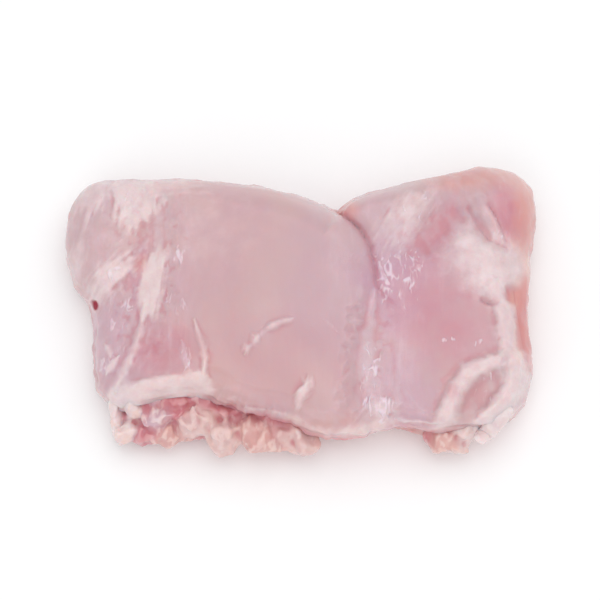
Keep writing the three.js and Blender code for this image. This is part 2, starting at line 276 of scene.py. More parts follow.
@dataclass(frozen=True)
class Plan:
    """The thigh's driving sizes in millimetres, and its outline seen from above.

    Attributes:
        length: Its extent from left to right, of which a place's first share is half.
        width: Its extent from near to far, of which a place's second share is half.
        height: How high its top stands.
        sag: How far the top falls off towards the near and far edge.
        left_drop: How far it falls off towards the left end.
        right_drop: How far it falls off past the main crease.
        form_wave: Height of the slow unevenness of the top.
        outline: Its edge, from the far left corner round by the right.
        near_side: Directions in radians between which the sheet doesn't wrap round the slab.
        near_fade: Over how many radians that changes.
    """

    LEFT_FALL = (-30, -52)
    RIGHT_FALL = (8, 28)
    OUTLINE_STEPS = 12

    length: float = 130
    width: float = 78
    height: float = 24
    left_drop: float = 4.5
    right_drop: float = 3
    sag: float = 2.2
    form_wave: float = 0.55
    outline: tuple[Place, ...] = (
        (-0.91, 0.87), (-0.7, 0.93), (-0.26, 0.9), (-0.06, 0.845), (0.08, 0.78), (0.17, 0.725),
        (0.25, 0.8), (0.4, 0.885), (0.56, 0.95), (0.7, 1.0), (0.82, 1.04), (0.93, 0.99),
        (0.995, 0.87), (1.015, 0.7), (1.0, 0.5), (0.972, 0.2), (0.966, 0.04), (0.965, -0.3),
        (0.968, -0.5), (0.948, -0.65), (0.89, -0.785), (0.795, -0.875), (0.68, -0.9), (0.56, -0.9),
        (0.4, -0.87), (0.22, -0.95), (0.06, -0.93), (-0.05, -0.84), (-0.22, -0.78), (-0.38, -0.69),
        (-0.56, -0.7), (-0.72, -0.74), (-0.83, -0.62), (-0.86, -0.38), (-0.87, -0.04), (-0.95, 0.2),
        (-0.985, 0.52),
    )
    near_side: tuple[float, float] = (-2.62, -0.15)
    near_fade: float = 0.5

    def spot(self, place: Place) -> Array:
        """A place in millimetres."""
        return np.array([place[0] * self.length / 2, place[1] * self.width / 2])

    def spots(self, places: tuple[Place, ...]) -> Array:
        """Several places in millimetres, one a row."""
        return np.array([self.spot(place) for place in places])

    def edge_radius(self, angle: Array) -> Array:
        """Distance of the outline from the middle in each direction.

        Args:
            angle: Directions in radians.

        Returns:
            The distances.
        """
        rim = curve_through(self.spots(self.outline), self.OUTLINE_STEPS, closed=True)
        turn = np.arctan2(rim[:, 1], rim[:, 0])
        order = np.argsort(turn)
        return np.interp(angle, turn[order], np.hypot(rim[:, 0], rim[:, 1])[order], period=2 * math.pi)

    def wrap(self, angle: Array) -> Array:
        """How far the sheet wraps round the slab.

        Args:
            angle: Directions in radians.

        Returns:
            The share in each direction, from 0 at the near side to 1.
        """
        start, end = self.near_side
        before = rise(start + self.near_fade, start, angle)
        return np.maximum(before, rise(end - self.near_fade, end, angle))


PLAN = Plan()


@dataclass(frozen=True)
class Line:
    """A line over the plan.

    Attributes:
        places: The places that it runs through.
    """

    STEPS = 8
    FAR = 1e3

    places: tuple[Place, ...]

    def points(self) -> Array:
        """Points along the line in millimetres."""
        return curve_through(PLAN.spots(self.places), self.STEPS)

    def nearest(self, ground: Ground, reach: float) -> tuple[Array, Array, Array]:
        """How near each point is to the line.

        Args:
            ground: The points.
            reach: Distance past which nothing is worked out.

        Returns:
            The distance, the side, which is 1 to the left of the line's way and -1 to its right, and how far
            along the line the nearest point is, from 0 to 1.
        """
        x, y, points = ground.x, ground.y, self.points()
        low, high = points.min(axis=0) - reach, points.max(axis=0) + reach
        distance, side, along = np.full_like(x, self.FAR), np.ones_like(x), np.zeros_like(x)
        inside = np.flatnonzero((x > low[0]) & (x < high[0]) & (y > low[1]) & (y < high[1]))
        px, py = x[inside], y[inside]
        best, best_side, best_along = distance[inside], side[inside], along[inside]
        for index, (a, b) in enumerate(zip(points, points[1:])):
            step = b - a
            share = np.clip(((px - a[0]) * step[0] + (py - a[1]) * step[1]) / (step @ step), 0, 1)
            gap = np.hypot(px - a[0] - share * step[0], py - a[1] - share * step[1])
            closer = gap < best
            best = np.where(closer, gap, best)
            cross = step[0] * (py - a[1]) - step[1] * (px - a[0])
            best_side = np.where(closer, np.where(cross < 0, -1, 1), best_side)
            best_along = np.where(closer, (index + share) / (len(points) - 1), best_along)
        distance[inside], side[inside], along[inside] = best, best_side, best_along
        return distance, side, along


@dataclass(frozen=True)
class Oval:
    """An oval on the plan.

    Attributes:
        at: Place of its middle.
        half: Half sizes in millimetres.
        turn: Its turn in degrees.
    """

    at: Place
    half: tuple[float, float]
    turn: float = 0

    def share(self, ground: Ground) -> Array:
        """How far each point is from the middle.

        Args:
            ground: The points.

        Returns:
            The distances as shares, where the oval's own edge is 1.
        """
        middle = PLAN.spot(self.at)
        along, across = turned(ground.x - middle[0], ground.y - middle[1], self.turn)
        return np.hypot(along / self.half[0], across / self.half[1])


@dataclass(frozen=True)
class Crease:
    """A crease where two muscles roll down towards each other, from its far end to its near end.

    Attributes:
        line: Its line.
        depth: Its depth at the far and near end.
        left: Reach of its left shoulder.
        right: Reach of its right shoulder.
        shade: How dark the painted shade at its bottom is, from 0 to 1.
    """

    DARK_REACH = 4
    DARK_DEPTH = 3

    line: Line
    depth: tuple[float, float]
    left: float
    right: float
    shade: float

    def drop(self, ground: Ground) -> Array:
        """How far the crease lowers the top.

        Args:
            ground: The points.

        Returns:
            The drop at each point.
        """
        distance, side, along = self.line.nearest(ground, max(self.left, self.right))
        reach = np.where(side > 0, self.right, self.left)
        return blend(*self.depth, along) * (1 - roll(distance / reach))

    def dark(self, ground: Ground) -> Array:
        """How far the painted shade at the crease's bottom darkens the top.

        Args:
            ground: The points.

        Returns:
            The darkness at each point, from 0 to 1.
        """
        distance, _, along = self.line.nearest(ground, self.DARK_REACH)
        depth = blend(*self.depth, along)
        return self.shade * rise(0, self.DARK_DEPTH, depth) * np.exp(-((distance / (0.6 + 0.1 * depth)) ** 2))


@dataclass(frozen=True)
class Stroke:
    """A strip of tissue that lies on the meat, or a groove in it.

    Attributes:
        line: Its line.
        half: Half its width in millimetres.
        height: How far it stands up, below 0 for a groove.
        tissue: What it is made of.
        weight: How much of that tissue it holds. A groove holds none.
        cord: Whether it stands up as a round cord, and not as a low swelling.
    """

    REACH = 2.2
    END = 0.3
    TIP = 0.25
    CORD_EDGE = (1.7, 0.5)
    FLAT_EDGE = (1.9, 0.1)
    CORD_UNEVEN = 0.18
    FLAT_UNEVEN = 0.3

    line: Line
    half: float
    height: float
    tissue: Tissue = Tissue.FAT
    weight: float = 0.9
    cord: bool = False

    def share(self, ground: Ground) -> Array:
        """Distance from the strip's line.

        Args:
            ground: The points.

        Returns:
            The distance as a share of the strip's half width, which varies along it.
        """
        distance, _, along = self.line.nearest(ground, self.REACH * self.half)
        ends = rise(0, self.END, np.minimum(along, 1 - along))
        taper = 1.0 if self.cord or not self.weight else self.TIP + (1 - self.TIP) * ends
        uneven = self.CORD_UNEVEN if self.cord else self.FLAT_UNEVEN
        return distance / (self.half * taper * (1 + uneven * ground.lumpy))

    def lift(self, ground: Ground) -> Array:
        """How far the strip raises the top.

        Args:
            ground: The points.

        Returns:
            The lift at each point. A groove fades out at its ends.
        """
        lift = self.height * rise(1.2, 0.25 if self.cord else 0, self.share(ground))
        if not self.weight:
            _, _, along = self.line.nearest(ground, self.REACH * self.half)
            lift *= rise(0, self.END, np.minimum(along, 1 - along))
        return lift

    def cover(self, ground: Ground) -> Array:
        """How much of its tissue the strip lays.

        Args:
            ground: The points.

        Returns:
            The cover at each point.
        """
        start, end = self.CORD_EDGE if self.cord else self.FLAT_EDGE
        held = 0.98 + 0.15 * ground.cloudy if self.cord else 0.9 + 0.4 * ground.cloudy
        uneven = (0.05 if self.cord else 0.25) * ground.frayed + 0.14 * ground.patchy
        return self.weight * held * rise(start, end, self.share(ground) + uneven)


@dataclass(frozen=True)
class Zone:
    """A stretch of the surface that holds a tissue.

    Attributes:
        tissue: Which tissue.
        oval: Where it lies.
        weight: How much of it there is.
        soft: How softly it ends.
        ragged: How unevenly it ends.
        streaks: How far it falls apart into streaks, which run along the oval's own turn.
    """

    REACH = 2.6
    STREAK = (7, 1.5)
    STREAK_SLICE = 11

    tissue: Tissue
    oval: Oval
    weight: float
    soft: float = 0.5
    ragged: float = 0.45
    streaks: float = 0

    def cover(self, ground: Ground) -> Array:
        """How much of its tissue the zone lays.

        Args:
            ground: The points.

        Returns:
            The cover at each point.
        """
        share = self.oval.share(ground)
        spots = np.flatnonzero(share < self.REACH)
        share = share[spots] + self.ragged * ground.patchy[spots]
        if self.streaks:
            along, across = turned(ground.x[spots], ground.y[spots], self.oval.turn)
            streak = flat_points(along / self.STREAK[0], across / self.STREAK[1], self.STREAK_SLICE)
            share += self.streaks * FIBRES.layers(streak)
        inside = rise(1 + self.soft, 1 - self.soft, share)
        cover = np.zeros_like(ground.x)
        cover[spots] = self.weight * inside * (0.94 + 0.25 * ground.cloudy[spots])
        return cover


def zones(tissue: Tissue, *rows: tuple[Any, ...]) -> tuple[Zone, ...]:
    """Zones of one tissue.

    Args:
        tissue: The tissue.
        rows: For each zone its place, half sizes, turn and weight, then as many as it needs of how softly and
            how unevenly it ends and how far it falls apart into streaks.

    Returns:
        The zones.
    """
    return tuple(Zone(tissue, Oval(*row[:3]), *row[3:]) for row in rows)


@dataclass(frozen=True)
class Ripples:
    """Small wrinkles of the membrane, which run along the oval's own turn.

    Attributes:
        oval: Where they lie.
        spacing: Distance from one to the next.
        height: How far they stand up.
        white: How white their crests are painted, partly membrane and partly painted highlight.
    """

    LENGTH = 3.2
    WANDER = 7

    oval: Oval
    spacing: float
    height: float
    white: float

    def waves(self, ground: Ground) -> Array:
        """The wrinkles' waves.

        Args:
            ground: The points.

        Returns:
            The wave at each point, from about -1 to 1, and 0 outside the oval.
        """
        inside = rise(1.2, 0.3, self.oval.share(ground))
        spots = np.flatnonzero(inside)
        x, y = ground.x[spots], ground.y[spots]
        along, across = turned(x, y, self.oval.turn)
        wander = FIBRES.at(flat_points(x, y, 9) / self.WANDER)
        waves = flat_points(along / (self.spacing * self.LENGTH), across / self.spacing + wander)
        inside[spots] *= FIBRES.at(waves)
        return inside


CREASES = (
    Crease(
        Line((
            (0.14, 0.78), (0.18, 0.62), (0.255, 0.5), (0.292, 0.38),
            (0.314, 0.2), (0.322, 0.08), (0.358, 0.0), (0.4, -0.07),
        )),
        depth=(6.3, 0.4), left=9, right=8, shade=0.5,
    ),
    Crease(
        Line(((0.71, 0.64), (0.75, 0.5), (0.8, 0.4), (0.86, 0.36))),
        depth=(0.8, 0.6), left=2.4, right=3, shade=0.5,
    ),
    Crease(
        Line(((0.79, 0.66), (0.83, 0.54), (0.865, 0.4))), depth=(0.7, 0.6), left=1.6, right=1.8, shade=0.5
    ),
    Crease(
        Line(((0.755, -0.02), (0.785, -0.045), (0.815, -0.045))),
        depth=(1.3, 1.3), left=1.4, right=1.8, shade=0.6,
    ),
    Crease(
        Line(((0.89, 0.05), (0.905, -0.12), (0.925, -0.34))), depth=(0.6, 0.6), left=2.0, right=3, shade=0.2
    ),
)

SWELLS = (
    (Oval((0.03, 0.05), (32, 34)), 2.2),
    (Oval((0.44, 0.7), (17, 8), 10), 1.6),
    (Oval((0.85, 0.74), (11, 10)), 3.2),
    (Oval((0.79, 0.56), (2.8, 5.5), 28), 0.8),
    (Oval((0.55, -0.15), (14, 17)), 1.2),
    (Oval((0.755, 0.24), (12, 9.6), -22), 1.5),
    (Oval((-0.8, 0.25), (8, 24), 4), 1.4),
    (Oval((-0.55, -0.38), (8, 6.6)), -2.4),
    (Oval((0.73, -0.7), (7, 3.6), 52), -0.35),
)

STROKES = (
    Stroke(
        Line(((-0.6, 0.98), (-0.595, 0.6), (-0.6, 0.26), (-0.62, -0.02), (-0.66, -0.31), (-0.74, -0.6))),
        7, -1.7, weight=0,
    ),
    Stroke(Line(((0.33, 0.36), (0.55, 0.41), (0.63, 0.57), (0.69, 0.72))), 5.5, -0.9, weight=0),
    Stroke(
        Line(((0.36, 0.06), (0.3, -0.16), (0.27, -0.42), (0.25, -0.7), (0.22, -1.1))), 5.5, -1.3, weight=0
    ),
    Stroke(Line(((-0.6, 0.3), (-0.61, 0.14), (-0.625, -0.02), (-0.64, -0.16))), 2.6, 0.2, weight=0.8),
    Stroke(Line(((-0.6, 0.86), (-0.585, 0.6), (-0.59, 0.3))), 1.8, 0.2, Tissue.FILM, 0.6),
    Stroke(Line(((-0.63, -0.04), (-0.655, -0.26), (-0.69, -0.44), (-0.755, -0.64))), 1.15, 0.3, weight=0.55),
    Stroke(
        Line(((-0.75, -0.7), (-0.66, -0.67), (-0.56, -0.65), (-0.44, -0.625), (-0.405, -0.6))),
        2.4, 0.6, weight=0.95, cord=True,
    ),
    Stroke(Line(((-0.425, -0.18), (-0.395, -0.34), (-0.38, -0.46), (-0.385, -0.58))), 0.9, 0.22, weight=0.5),
    Stroke(Line(((-0.475, -0.32), (-0.46, -0.46), (-0.425, -0.56))), 0.9, 0.25, Tissue.FILM, 0.9),
    Stroke(
        Line(((0.315, 0.04), (0.29, -0.24), (0.275, -0.5), (0.31, -0.72), (0.36, -0.84))),
        2.4, 0.4, Tissue.FILM, 0.9,
    ),
    Stroke(
        Line(((0.81, 0.06), (0.83, -0.03), (0.85, -0.15), (0.86, -0.34), (0.89, -0.52))),
        3.0, 1.1, weight=0.66, cord=True,
    ),
    Stroke(
        Line(((0.875, -0.48), (0.885, -0.59), (0.855, -0.7), (0.805, -0.79), (0.76, -0.865))),
        3.4, 2.4, weight=1, cord=True,
    ),
    # Whitish strip along the near edge: membrane, and a painted highlight on the wet rim.
    Stroke(
        Line(((-0.22, -0.765), (-0.05, -0.82), (0.06, -0.905), (0.22, -0.925), (0.4, -0.85), (0.56, -0.875))),
        0.9, 0.2, weight=0.6,
    ),
    Stroke(
        Line(((0.92, -0.42), (0.8, -0.46), (0.7, -0.53), (0.64, -0.65), (0.605, -0.78), (0.58, -0.9))),
        2.7, 1.4, weight=0.68, cord=True,
    ),
    # The next two strokes: beaded arcs on the middle muscle, low ridges painted white as highlights.
    Stroke(
        Line(((-0.22, -0.43), (-0.17, -0.32), (-0.11, -0.235), (-0.02, -0.185))), 0.8, 0.1, Tissue.FILM, 0.7
    ),
    Stroke(Line(((0.04, -0.57), (0.022, -0.68), (-0.008, -0.79))), 0.9, 0.1, Tissue.FILM, 0.6),
    # A faint painted highlight on the middle muscle.
    Stroke(Line(((0.1, -0.19), (0.165, -0.29))), 0.6, 0.06, Tissue.SILVER, 0.6),
    Stroke(Line(((0.786, 0.63), (0.82, 0.52), (0.853, 0.39))), 0.9, 0.2, Tissue.SILVER, 0.6),
    # The next two strokes: short whitish marks low on the left, painted highlights.
    Stroke(Line(((-0.79, -0.52), (-0.765, -0.46), (-0.735, -0.4))), 0.9, 0.1, weight=0.7),
    Stroke(Line(((-0.8, -0.3), (-0.78, -0.35), (-0.77, -0.41))), 0.8, 0.1, weight=0.6),
)

ZONES = (
    *zones(
        Tissue.FAT,
        ((-0.685, 0.68), (5.8, 5.6), 88, 1.0, 0.5, 0.45, 0.4),
        ((-0.74, 0.82), (3, 2.6), 60, 0.7, 0.5, 0.45, 0.4),
        ((-0.87, 0.78), (7, 4), 80, 0.55, 0.5, 0.45, 0.4),
        ((-0.6, 0.84), (12, 3), -2, 0.5, 0.8, 0.45, 0.4),
        ((-0.785, 0.155), (7.6, 3.8), 42, 1.0, 0.7, 0.45, 0.5),
        ((-0.83, 0.02), (4, 2.4), 62, 0.5, 0.5, 0.45, 0.4),
        ((-0.93, 0.3), (10, 3), 80, 0.4, 0.5, 0.45, 0.5),
        ((0.42, 0.52), (9, 5), 58, 0.5, 0.8, 0.45, 0.5),
        ((0.5, 0.66), (5, 3), 60, 0.35, 0.8, 0.45, 0.5),
        ((-0.602, 0.1), (8.4, 3.1), 84, 1.0, 0.5, 0.3, 0.3),
        ((-0.4, 0.5), (14, 16), 0, 0.3, 0.9, 0.2),
        ((-0.82, 0.44), (8, 9), 0, 0.2, 0.9, 0.3),
        ((-0.742, -0.61), (5.4, 2.2), 62, 0.7, 0.6),
        # Beads along the two arcs on the middle muscle: painted highlights.
        ((-0.211, -0.395), (1.1, 0.8), 75, 0.62, 0.95, 0.3, 0.6),
        ((-0.172, -0.325), (1.3, 1.0), 110, 0.66, 0.95, 0.3, 0.6),
        ((-0.107, -0.24), (1.4, 1.1), 20, 0.7, 0.95, 0.3, 0.6),
        ((-0.055, -0.205), (1.5, 0.8), 12, 0.46, 0.95, 0.3, 0.6),
        ((0.017, -0.7), (1.7, 1.5), 40, 0.8, 0.95, 0.3, 0.8),
        ((0.038, -0.615), (1.4, 1.2), 100, 0.45, 0.95, 0.3, 0.8),
        ((0.0, -0.765), (1.2, 1.0), 60, 0.4, 0.95, 0.3, 0.8),
        ((0.79, 0.2), (12, 7.4), -18, 0.76, 0.6, 0.3),
        ((0.71, 0.4), (3.4, 6.5), 12, 0.5, 0.8, 0.3),
        ((0.93, 0.26), (3, 5), 0, 0.35, 0.7),
        ((0.79, 0.54), (6, 2.4), 118, 0.5, 0.8, 0.45, 0.3),
        ((-0.72, -0.7), (3.4, 3), 5, 0.6),
        ((-0.57, -0.68), (13, 3.2), 0, 1.0, 0.6, 0.3, 0.3),
        # Painted highlight at the valley's lower end.
        ((0.373, -0.78), (3.2, 2.4), 45, 0.5, 0.5, 0.45, 0.5),
        ((0.8, -0.83), (6, 2.6), 40, 0.9, 0.6, 0.2),
        ((0.9, -0.52), (6, 5), -40, 0.85),
        # Whitish patch at the near edge, partly painted highlight.
        ((0.29, -0.86), (6, 3), 50, 0.4, 0.5, 0.45, 0.6),
    ),
    *zones(
        Tissue.MAUVE,
        ((0.16, 0.1), (12, 34), 0, 0.22, 0.9, 0.2),
        ((0.42, 0.08), (9, 13), 0, 0.8, 0.6),
        ((0.43, -0.66), (9, 12), 0, 0.6, 0.7),
        ((-0.78, -0.32), (9, 17), 8, 0.35),
        ((-0.66, 0.2), (9, 2.4), 88, 0.5),
        ((-0.55, -0.4), (7, 5), 0, 0.4),
    ),
    *zones(
        Tissue.SALMON,
        ((-0.16, -0.55), (24, 13), 0, 0.32, 0.8, 0.2),
        ((-0.38, 0.4), (18, 26), 0, 0.24, 0.9, 0.2),
        ((-0.75, 0.42), (9, 7), 0, 0.2, 0.9, 0.2),
        ((0.9, 0.0), (3.2, 2.6), 30, 0.9),
        ((0.78, 0.97), (22, 6), 0, 0.75),
        ((0.98, 0.6), (4.5, 14), 0, 0.9),
        ((0.955, 0.74), (4, 6), 0, 0.8),
        ((0.905, -0.4), (1.6, 2.8), 0, 0.8),
        ((0.97, -0.12), (5, 14), 0, 1, 0.3, 0.2),
        ((0.2, 0.68), (5, 2.8), -50, 1),
        ((-0.1, -0.93), (30, 4), 0, 0.5),
        ((-0.655, 0.24), (1.7, 3), 0, 0.7),
    ),
    *zones(
        Tissue.FILM,
        ((-0.56, 0.2), (34, 7), 90, 0.45, 0.8, 0.45, 0.5),
        ((-0.83, 0.45), (14, 8), 80, 0.7, 0.8, 0.45, 0.6),
        ((-0.78, -0.3), (16, 8), 62, 0.65, 0.8, 0.45, 0.8),
        ((0.37, -0.55), (20, 7), 88, 0.5, 0.8, 0.45, 0.4),
        ((0.32, 0.6), (14, 8), 62, 0.35, 0.8, 0.45, 0.5),
        # Whitish strip along the near edge: membrane, and a painted highlight on the wet rim.
        ((0.3, -0.92), (18, 2), 2, 0.7),
        ((0.76, 0.2), (18, 13), -20, 0.35, 0.8),
        ((0.78, -0.6), (12, 11), 0, 0.3, 0.8),
        ((-0.55, -0.73), (14, 2.2), -2, 0.7),
    ),
    *zones(
        Tissue.ROSE,
        ((0.6, -0.12), (15, 16), 0, 0.78, 0.6, 0.2),
        ((0.57, 0.46), (9, 4.5), 58, 0.75, 0.7),
        ((0.88, 0.6), (6, 9), 0, 1, 0.6, 0.2),
        ((0.885, 0.0), (3.2, 2.6), 30, 0.8),
        ((0.74, -0.68), (6, 3.4), 52, 0.1, 0.7),
        ((-0.55, -0.38), (8.4, 6.6), 0, 0.75, 0.6, 0.2),
        ((-0.64, -0.02), (9, 2), 84, 0.5, 0.8),
        ((0.94, -0.16), (3.2, 13), 0, 1, 0.3, 0.15),
    ),
    # Patches of deep red; this colour also carries the painted shade.
    *zones(
        Tissue.DEEP,
        ((0.89, 0.58), (4, 6), 0, 0.3, 0.8, 0.2),
        ((-0.55, -0.36), (8, 6), 0, 0.08, 0.7, 0.3),
        ((0.945, -0.17), (2.6, 12.5), 0, 0.4, 0.4, 0.2),
        ((0.62, -0.66), (1.6, 2.4), 0, 0.4),
        ((0.19, 0.66), (3, 1.6), -50, 0.5),
    ),
    # Silvery wrinkles of the membrane, which are also painted highlights on the wet film.
    *zones(
        Tissue.SILVER,
        ((0.375, 0.24), (5.4, 3.6), -50, 0.6, 0.5, 0.2),
        ((0.46, 0.28), (5, 3), -60, 0.6, 0.5, 0.2),
        ((0.365, 0.04), (4.6, 3), 100, 0.6, 0.5, 0.2),
        ((0.45, 0.04), (4.6, 3), 88, 0.6, 0.5, 0.2),
        ((-0.49, 0.26), (4, 3), 35, 0.5),
        ((-0.5, -0.03), (4.6, 3.6), -32, 0.5),
        ((-0.772, -0.43), (6.4, 3), 58, 0.45),
        ((-0.745, -0.12), (7, 3.6), 60, 0.45),
        ((-0.87, 0.33), (4, 1.8), 80, 0.4),
        ((-0.74, 0.2), (5.4, 3.6), 60, 0.4),
        ((-0.69, 0.67), (6.4, 5), 86, 0.4),
        ((-0.455, -0.45), (4, 1.6), 95, 0.6),
        ((0.29, -0.5), (10, 2.8), 82, 0.6),
        ((0.36, -0.77), (4.6, 3.6), 50, 0.75),
        # Three small dots: painted glints.
        ((0.595, -0.31), (0.9, 0.7), 20, 1),
        ((0.63, -0.3), (0.9, 0.6), -30, 1),
        ((0.735, -0.32), (1.1, 0.7), 50, 1),
        ((0.5, 0.62), (7, 4.6), 58, 0.35),
        ((0.77, -0.58), (6, 5), 40, 0.4),
    ),
    *zones(
        Tissue.BLOOD,
        ((-0.85, -0.018), (1.9, 1.2), -42, 1, 0.6, 0.9),
        ((-0.868, 0.012), (1.7, 0.8), -30, 0.8, 0.6, 0.8),
    ),
)

BARE = zones(
    Tissue.FAT,
    ((0.955, -0.16), (3.4, 12.0), 0, 1, 0.3, 0.12),
    ((0.885, 0.03), (3.0, 2.6), 30, 1, 0.4, 0.2),
    ((0.74, -0.68), (6, 2.8), 52, 0.7, 0.5, 0.4),
)

# Wrinkles of the membrane; some have their crests painted white as highlights.
RIPPLES = (
    Ripples(Oval((-0.137, -0.283), (7, 13), 128), 1.3, 0.012, 0),
    Ripples(Oval((0.026, -0.64), (6, 6), 160), 1.3, 0.014, 0),
    Ripples(Oval((0.4, 0.14), (8, 12), 96), 1.7, 0.1, 0.3),
    Ripples(Oval((0.3, -0.64), (6, 12), 74), 1.7, 0.2, 0.5),
    Ripples(Oval((-0.79, -0.36), (6, 10), 55), 1.7, 0.14, 0.3),
    Ripples(Oval((-0.69, 0.66), (7, 6), 86), 1.6, 0.12, 0.3),
    Ripples(Oval((-0.77, 0.16), (6, 5), 42), 1.8, 0.14, 0),
    Ripples(Oval((0.44, 0.6), (12, 8), 60), 2.2, 0.12, 0.4),
    Ripples(Oval((0.8, 0.5), (8, 5), 118), 2.0, 0.2, 0.2),
    Ripples(Oval((-0.44, -0.42), (6, 5), 100), 1.8, 0.12, 0.4),
    Ripples(Oval((-0.58, -0.67), (12, 3.4), 8), 2.2, 0.2, 0),
)

CALM = (Oval((-0.12, 0.0), (35, 46)), Oval((0.6, -0.2), (14, 20)), Oval((0.8, 0.24), (14, 10)))


class Relief:
    """The top surface of the outer muscles."""

    FIBRE_TURN = 82.0
    FIBRE_SIZE = (9, 1.7)
    FIBRE_HEIGHT = 0.03
    BUNDLE_TURN = 118.0
    BUNDLE_SIZE = (34, 4.2)
    BUNDLE_HEIGHT = 0.2
    BEND_WAVE = 18
    BEND = 1.5
    SLOW_WAVE = 11
    SLOW_HEIGHT = 0.28
    NODULE_WAVE = 3.4
    NODULE_HEIGHT = 0.16
    FAT_HEIGHT = 0.7
    CALM_SHARE = 0.12
    CALM_EDGE = (0.75, 1.1)
    SWELL_REACH = 1.25

    def form(self, ground: Ground) -> Array:
        """Height of the top, with its muscles, creases and strips.

        Args:
            ground: The points.

        Returns:
            The heights.
        """
        x, y = ground.x, ground.y
        z = PLAN.height - PLAN.sag - PLAN.sag * (y / (PLAN.width / 2)) ** 2
        z -= PLAN.left_drop * rise(*PLAN.LEFT_FALL, x) + PLAN.right_drop * rise(*PLAN.RIGHT_FALL, x)
        z += PLAN.form_wave * self.wave(x, y)
        z += sum(height * rise(self.SWELL_REACH, 0, oval.share(ground)) for oval, height in SWELLS)
        z -= sum(crease.drop(ground) for crease in CREASES)
        z += sum(stroke.lift(ground) for stroke in STROKES)
        return z

    def fine(self, ground: Ground, fat: Array) -> Array:
        """Fine relief: fibres and wrinkles on the meat, nodules on the fat.

        Args:
            ground: The points.
            fat: Share of fat at each point.

        Returns:
            How far the fine relief raises or lowers the top.
        """
        bend = self.BEND * ground.noise(SPREAD, self.BEND_WAVE, 0.5, 1)
        fibres = self.FIBRE_HEIGHT * self.drawn_out(ground, self.FIBRE_TURN, self.FIBRE_SIZE, bend, 0.5)
        bundles = self.BUNDLE_HEIGHT * self.drawn_out(ground, self.BUNDLE_TURN, self.BUNDLE_SIZE, bend, 5)
        slow = self.SLOW_HEIGHT * ground.noise(SPREAD, self.SLOW_WAVE, 8, 2)
        lumps = self.NODULE_HEIGHT * ground.noise(LUMPS, self.NODULE_WAVE, 4)
        calm = rise(*self.CALM_EDGE, np.minimum.reduce([oval.share(ground) for oval in CALM]))
        busy = self.CALM_SHARE + (1 - self.CALM_SHARE) * calm
        wrinkles = sum(ripple.height * ripple.waves(ground) for ripple in RIPPLES)
        return busy * (slow + (1 - fat) * (fibres + bundles) + fat * lumps) + wrinkles + self.FAT_HEIGHT * fat

    @staticmethod
    def drawn_out(ground: Ground, turn: float, size: tuple[float, float], bend: Array, depth: float) -> Array:
        """Noise drawn out in one direction.

        Args:
            ground: The points.
            turn: The direction in degrees.
            size: Length and width of a wave.
            bend: How far the waves bend aside at each point, in widths.
            depth: Which slice of the noise.

        Returns:
            The noise at each point.
        """
        along, across = turned(ground.x, ground.y, turn)
        return FIBRES.layers(flat_points(along / size[0], across / size[1] + bend, depth), 2)

    @staticmethod
    def wave(x: Array, y: Array) -> Array:
        """Slow unevenness of the meat.

        Args:
            x: Distances to the right.
            y: Distances to the far side.

        Returns:
            The unevenness at each point, between about -1 and 1.
        """
        return (
            0.45 * np.sin(0.11 * x + 0.07 * y + 0.6)
            + 0.35 * np.sin(0.19 * y - 0.08 * x + 2.1)
            + 0.3 * np.sin(0.27 * x + 0.16 * y + 4.0) * np.cos(0.21 * y - 0.5)
        )

    def tissues(self, ground: Ground) -> dict[Tissue, Array]:
        """What the top is made of, with the painted shade along the creases and the painted white on wrinkle
        crests.

        Args:
            ground: The points.

        Returns:
            The share of each tissue at each point, from 0 to 1.
        """
        bare = {tissue: np.ones_like(ground.x) for tissue in Tissue}
        for part in ZONES + STROKES:
            if part.weight:
                bare[part.tissue] *= 1 - np.clip(part.cover(ground), 0, 1)
        # The wrinkles' crests are painted white, as membrane and as painted highlight.
        for ripple in RIPPLES:
            bare[Tissue.FILM] *= 1 - ripple.white * rise(0.1, 0.6, ripple.waves(ground))
        # Painted shade along the creases' bottoms.
        for crease in CREASES:
            bare[Tissue.DEEP] *= 1 - np.clip(crease.dark(ground), 0, 1)
        tissues = {tissue: 1 - share for tissue, share in bare.items()}
        for zone in BARE:
            kept = 1 - np.clip(zone.cover(ground), 0, 1)
            tissues[Tissue.FAT] *= kept
            tissues[Tissue.FILM] *= kept
        return tissues


RELIEF = Relief()


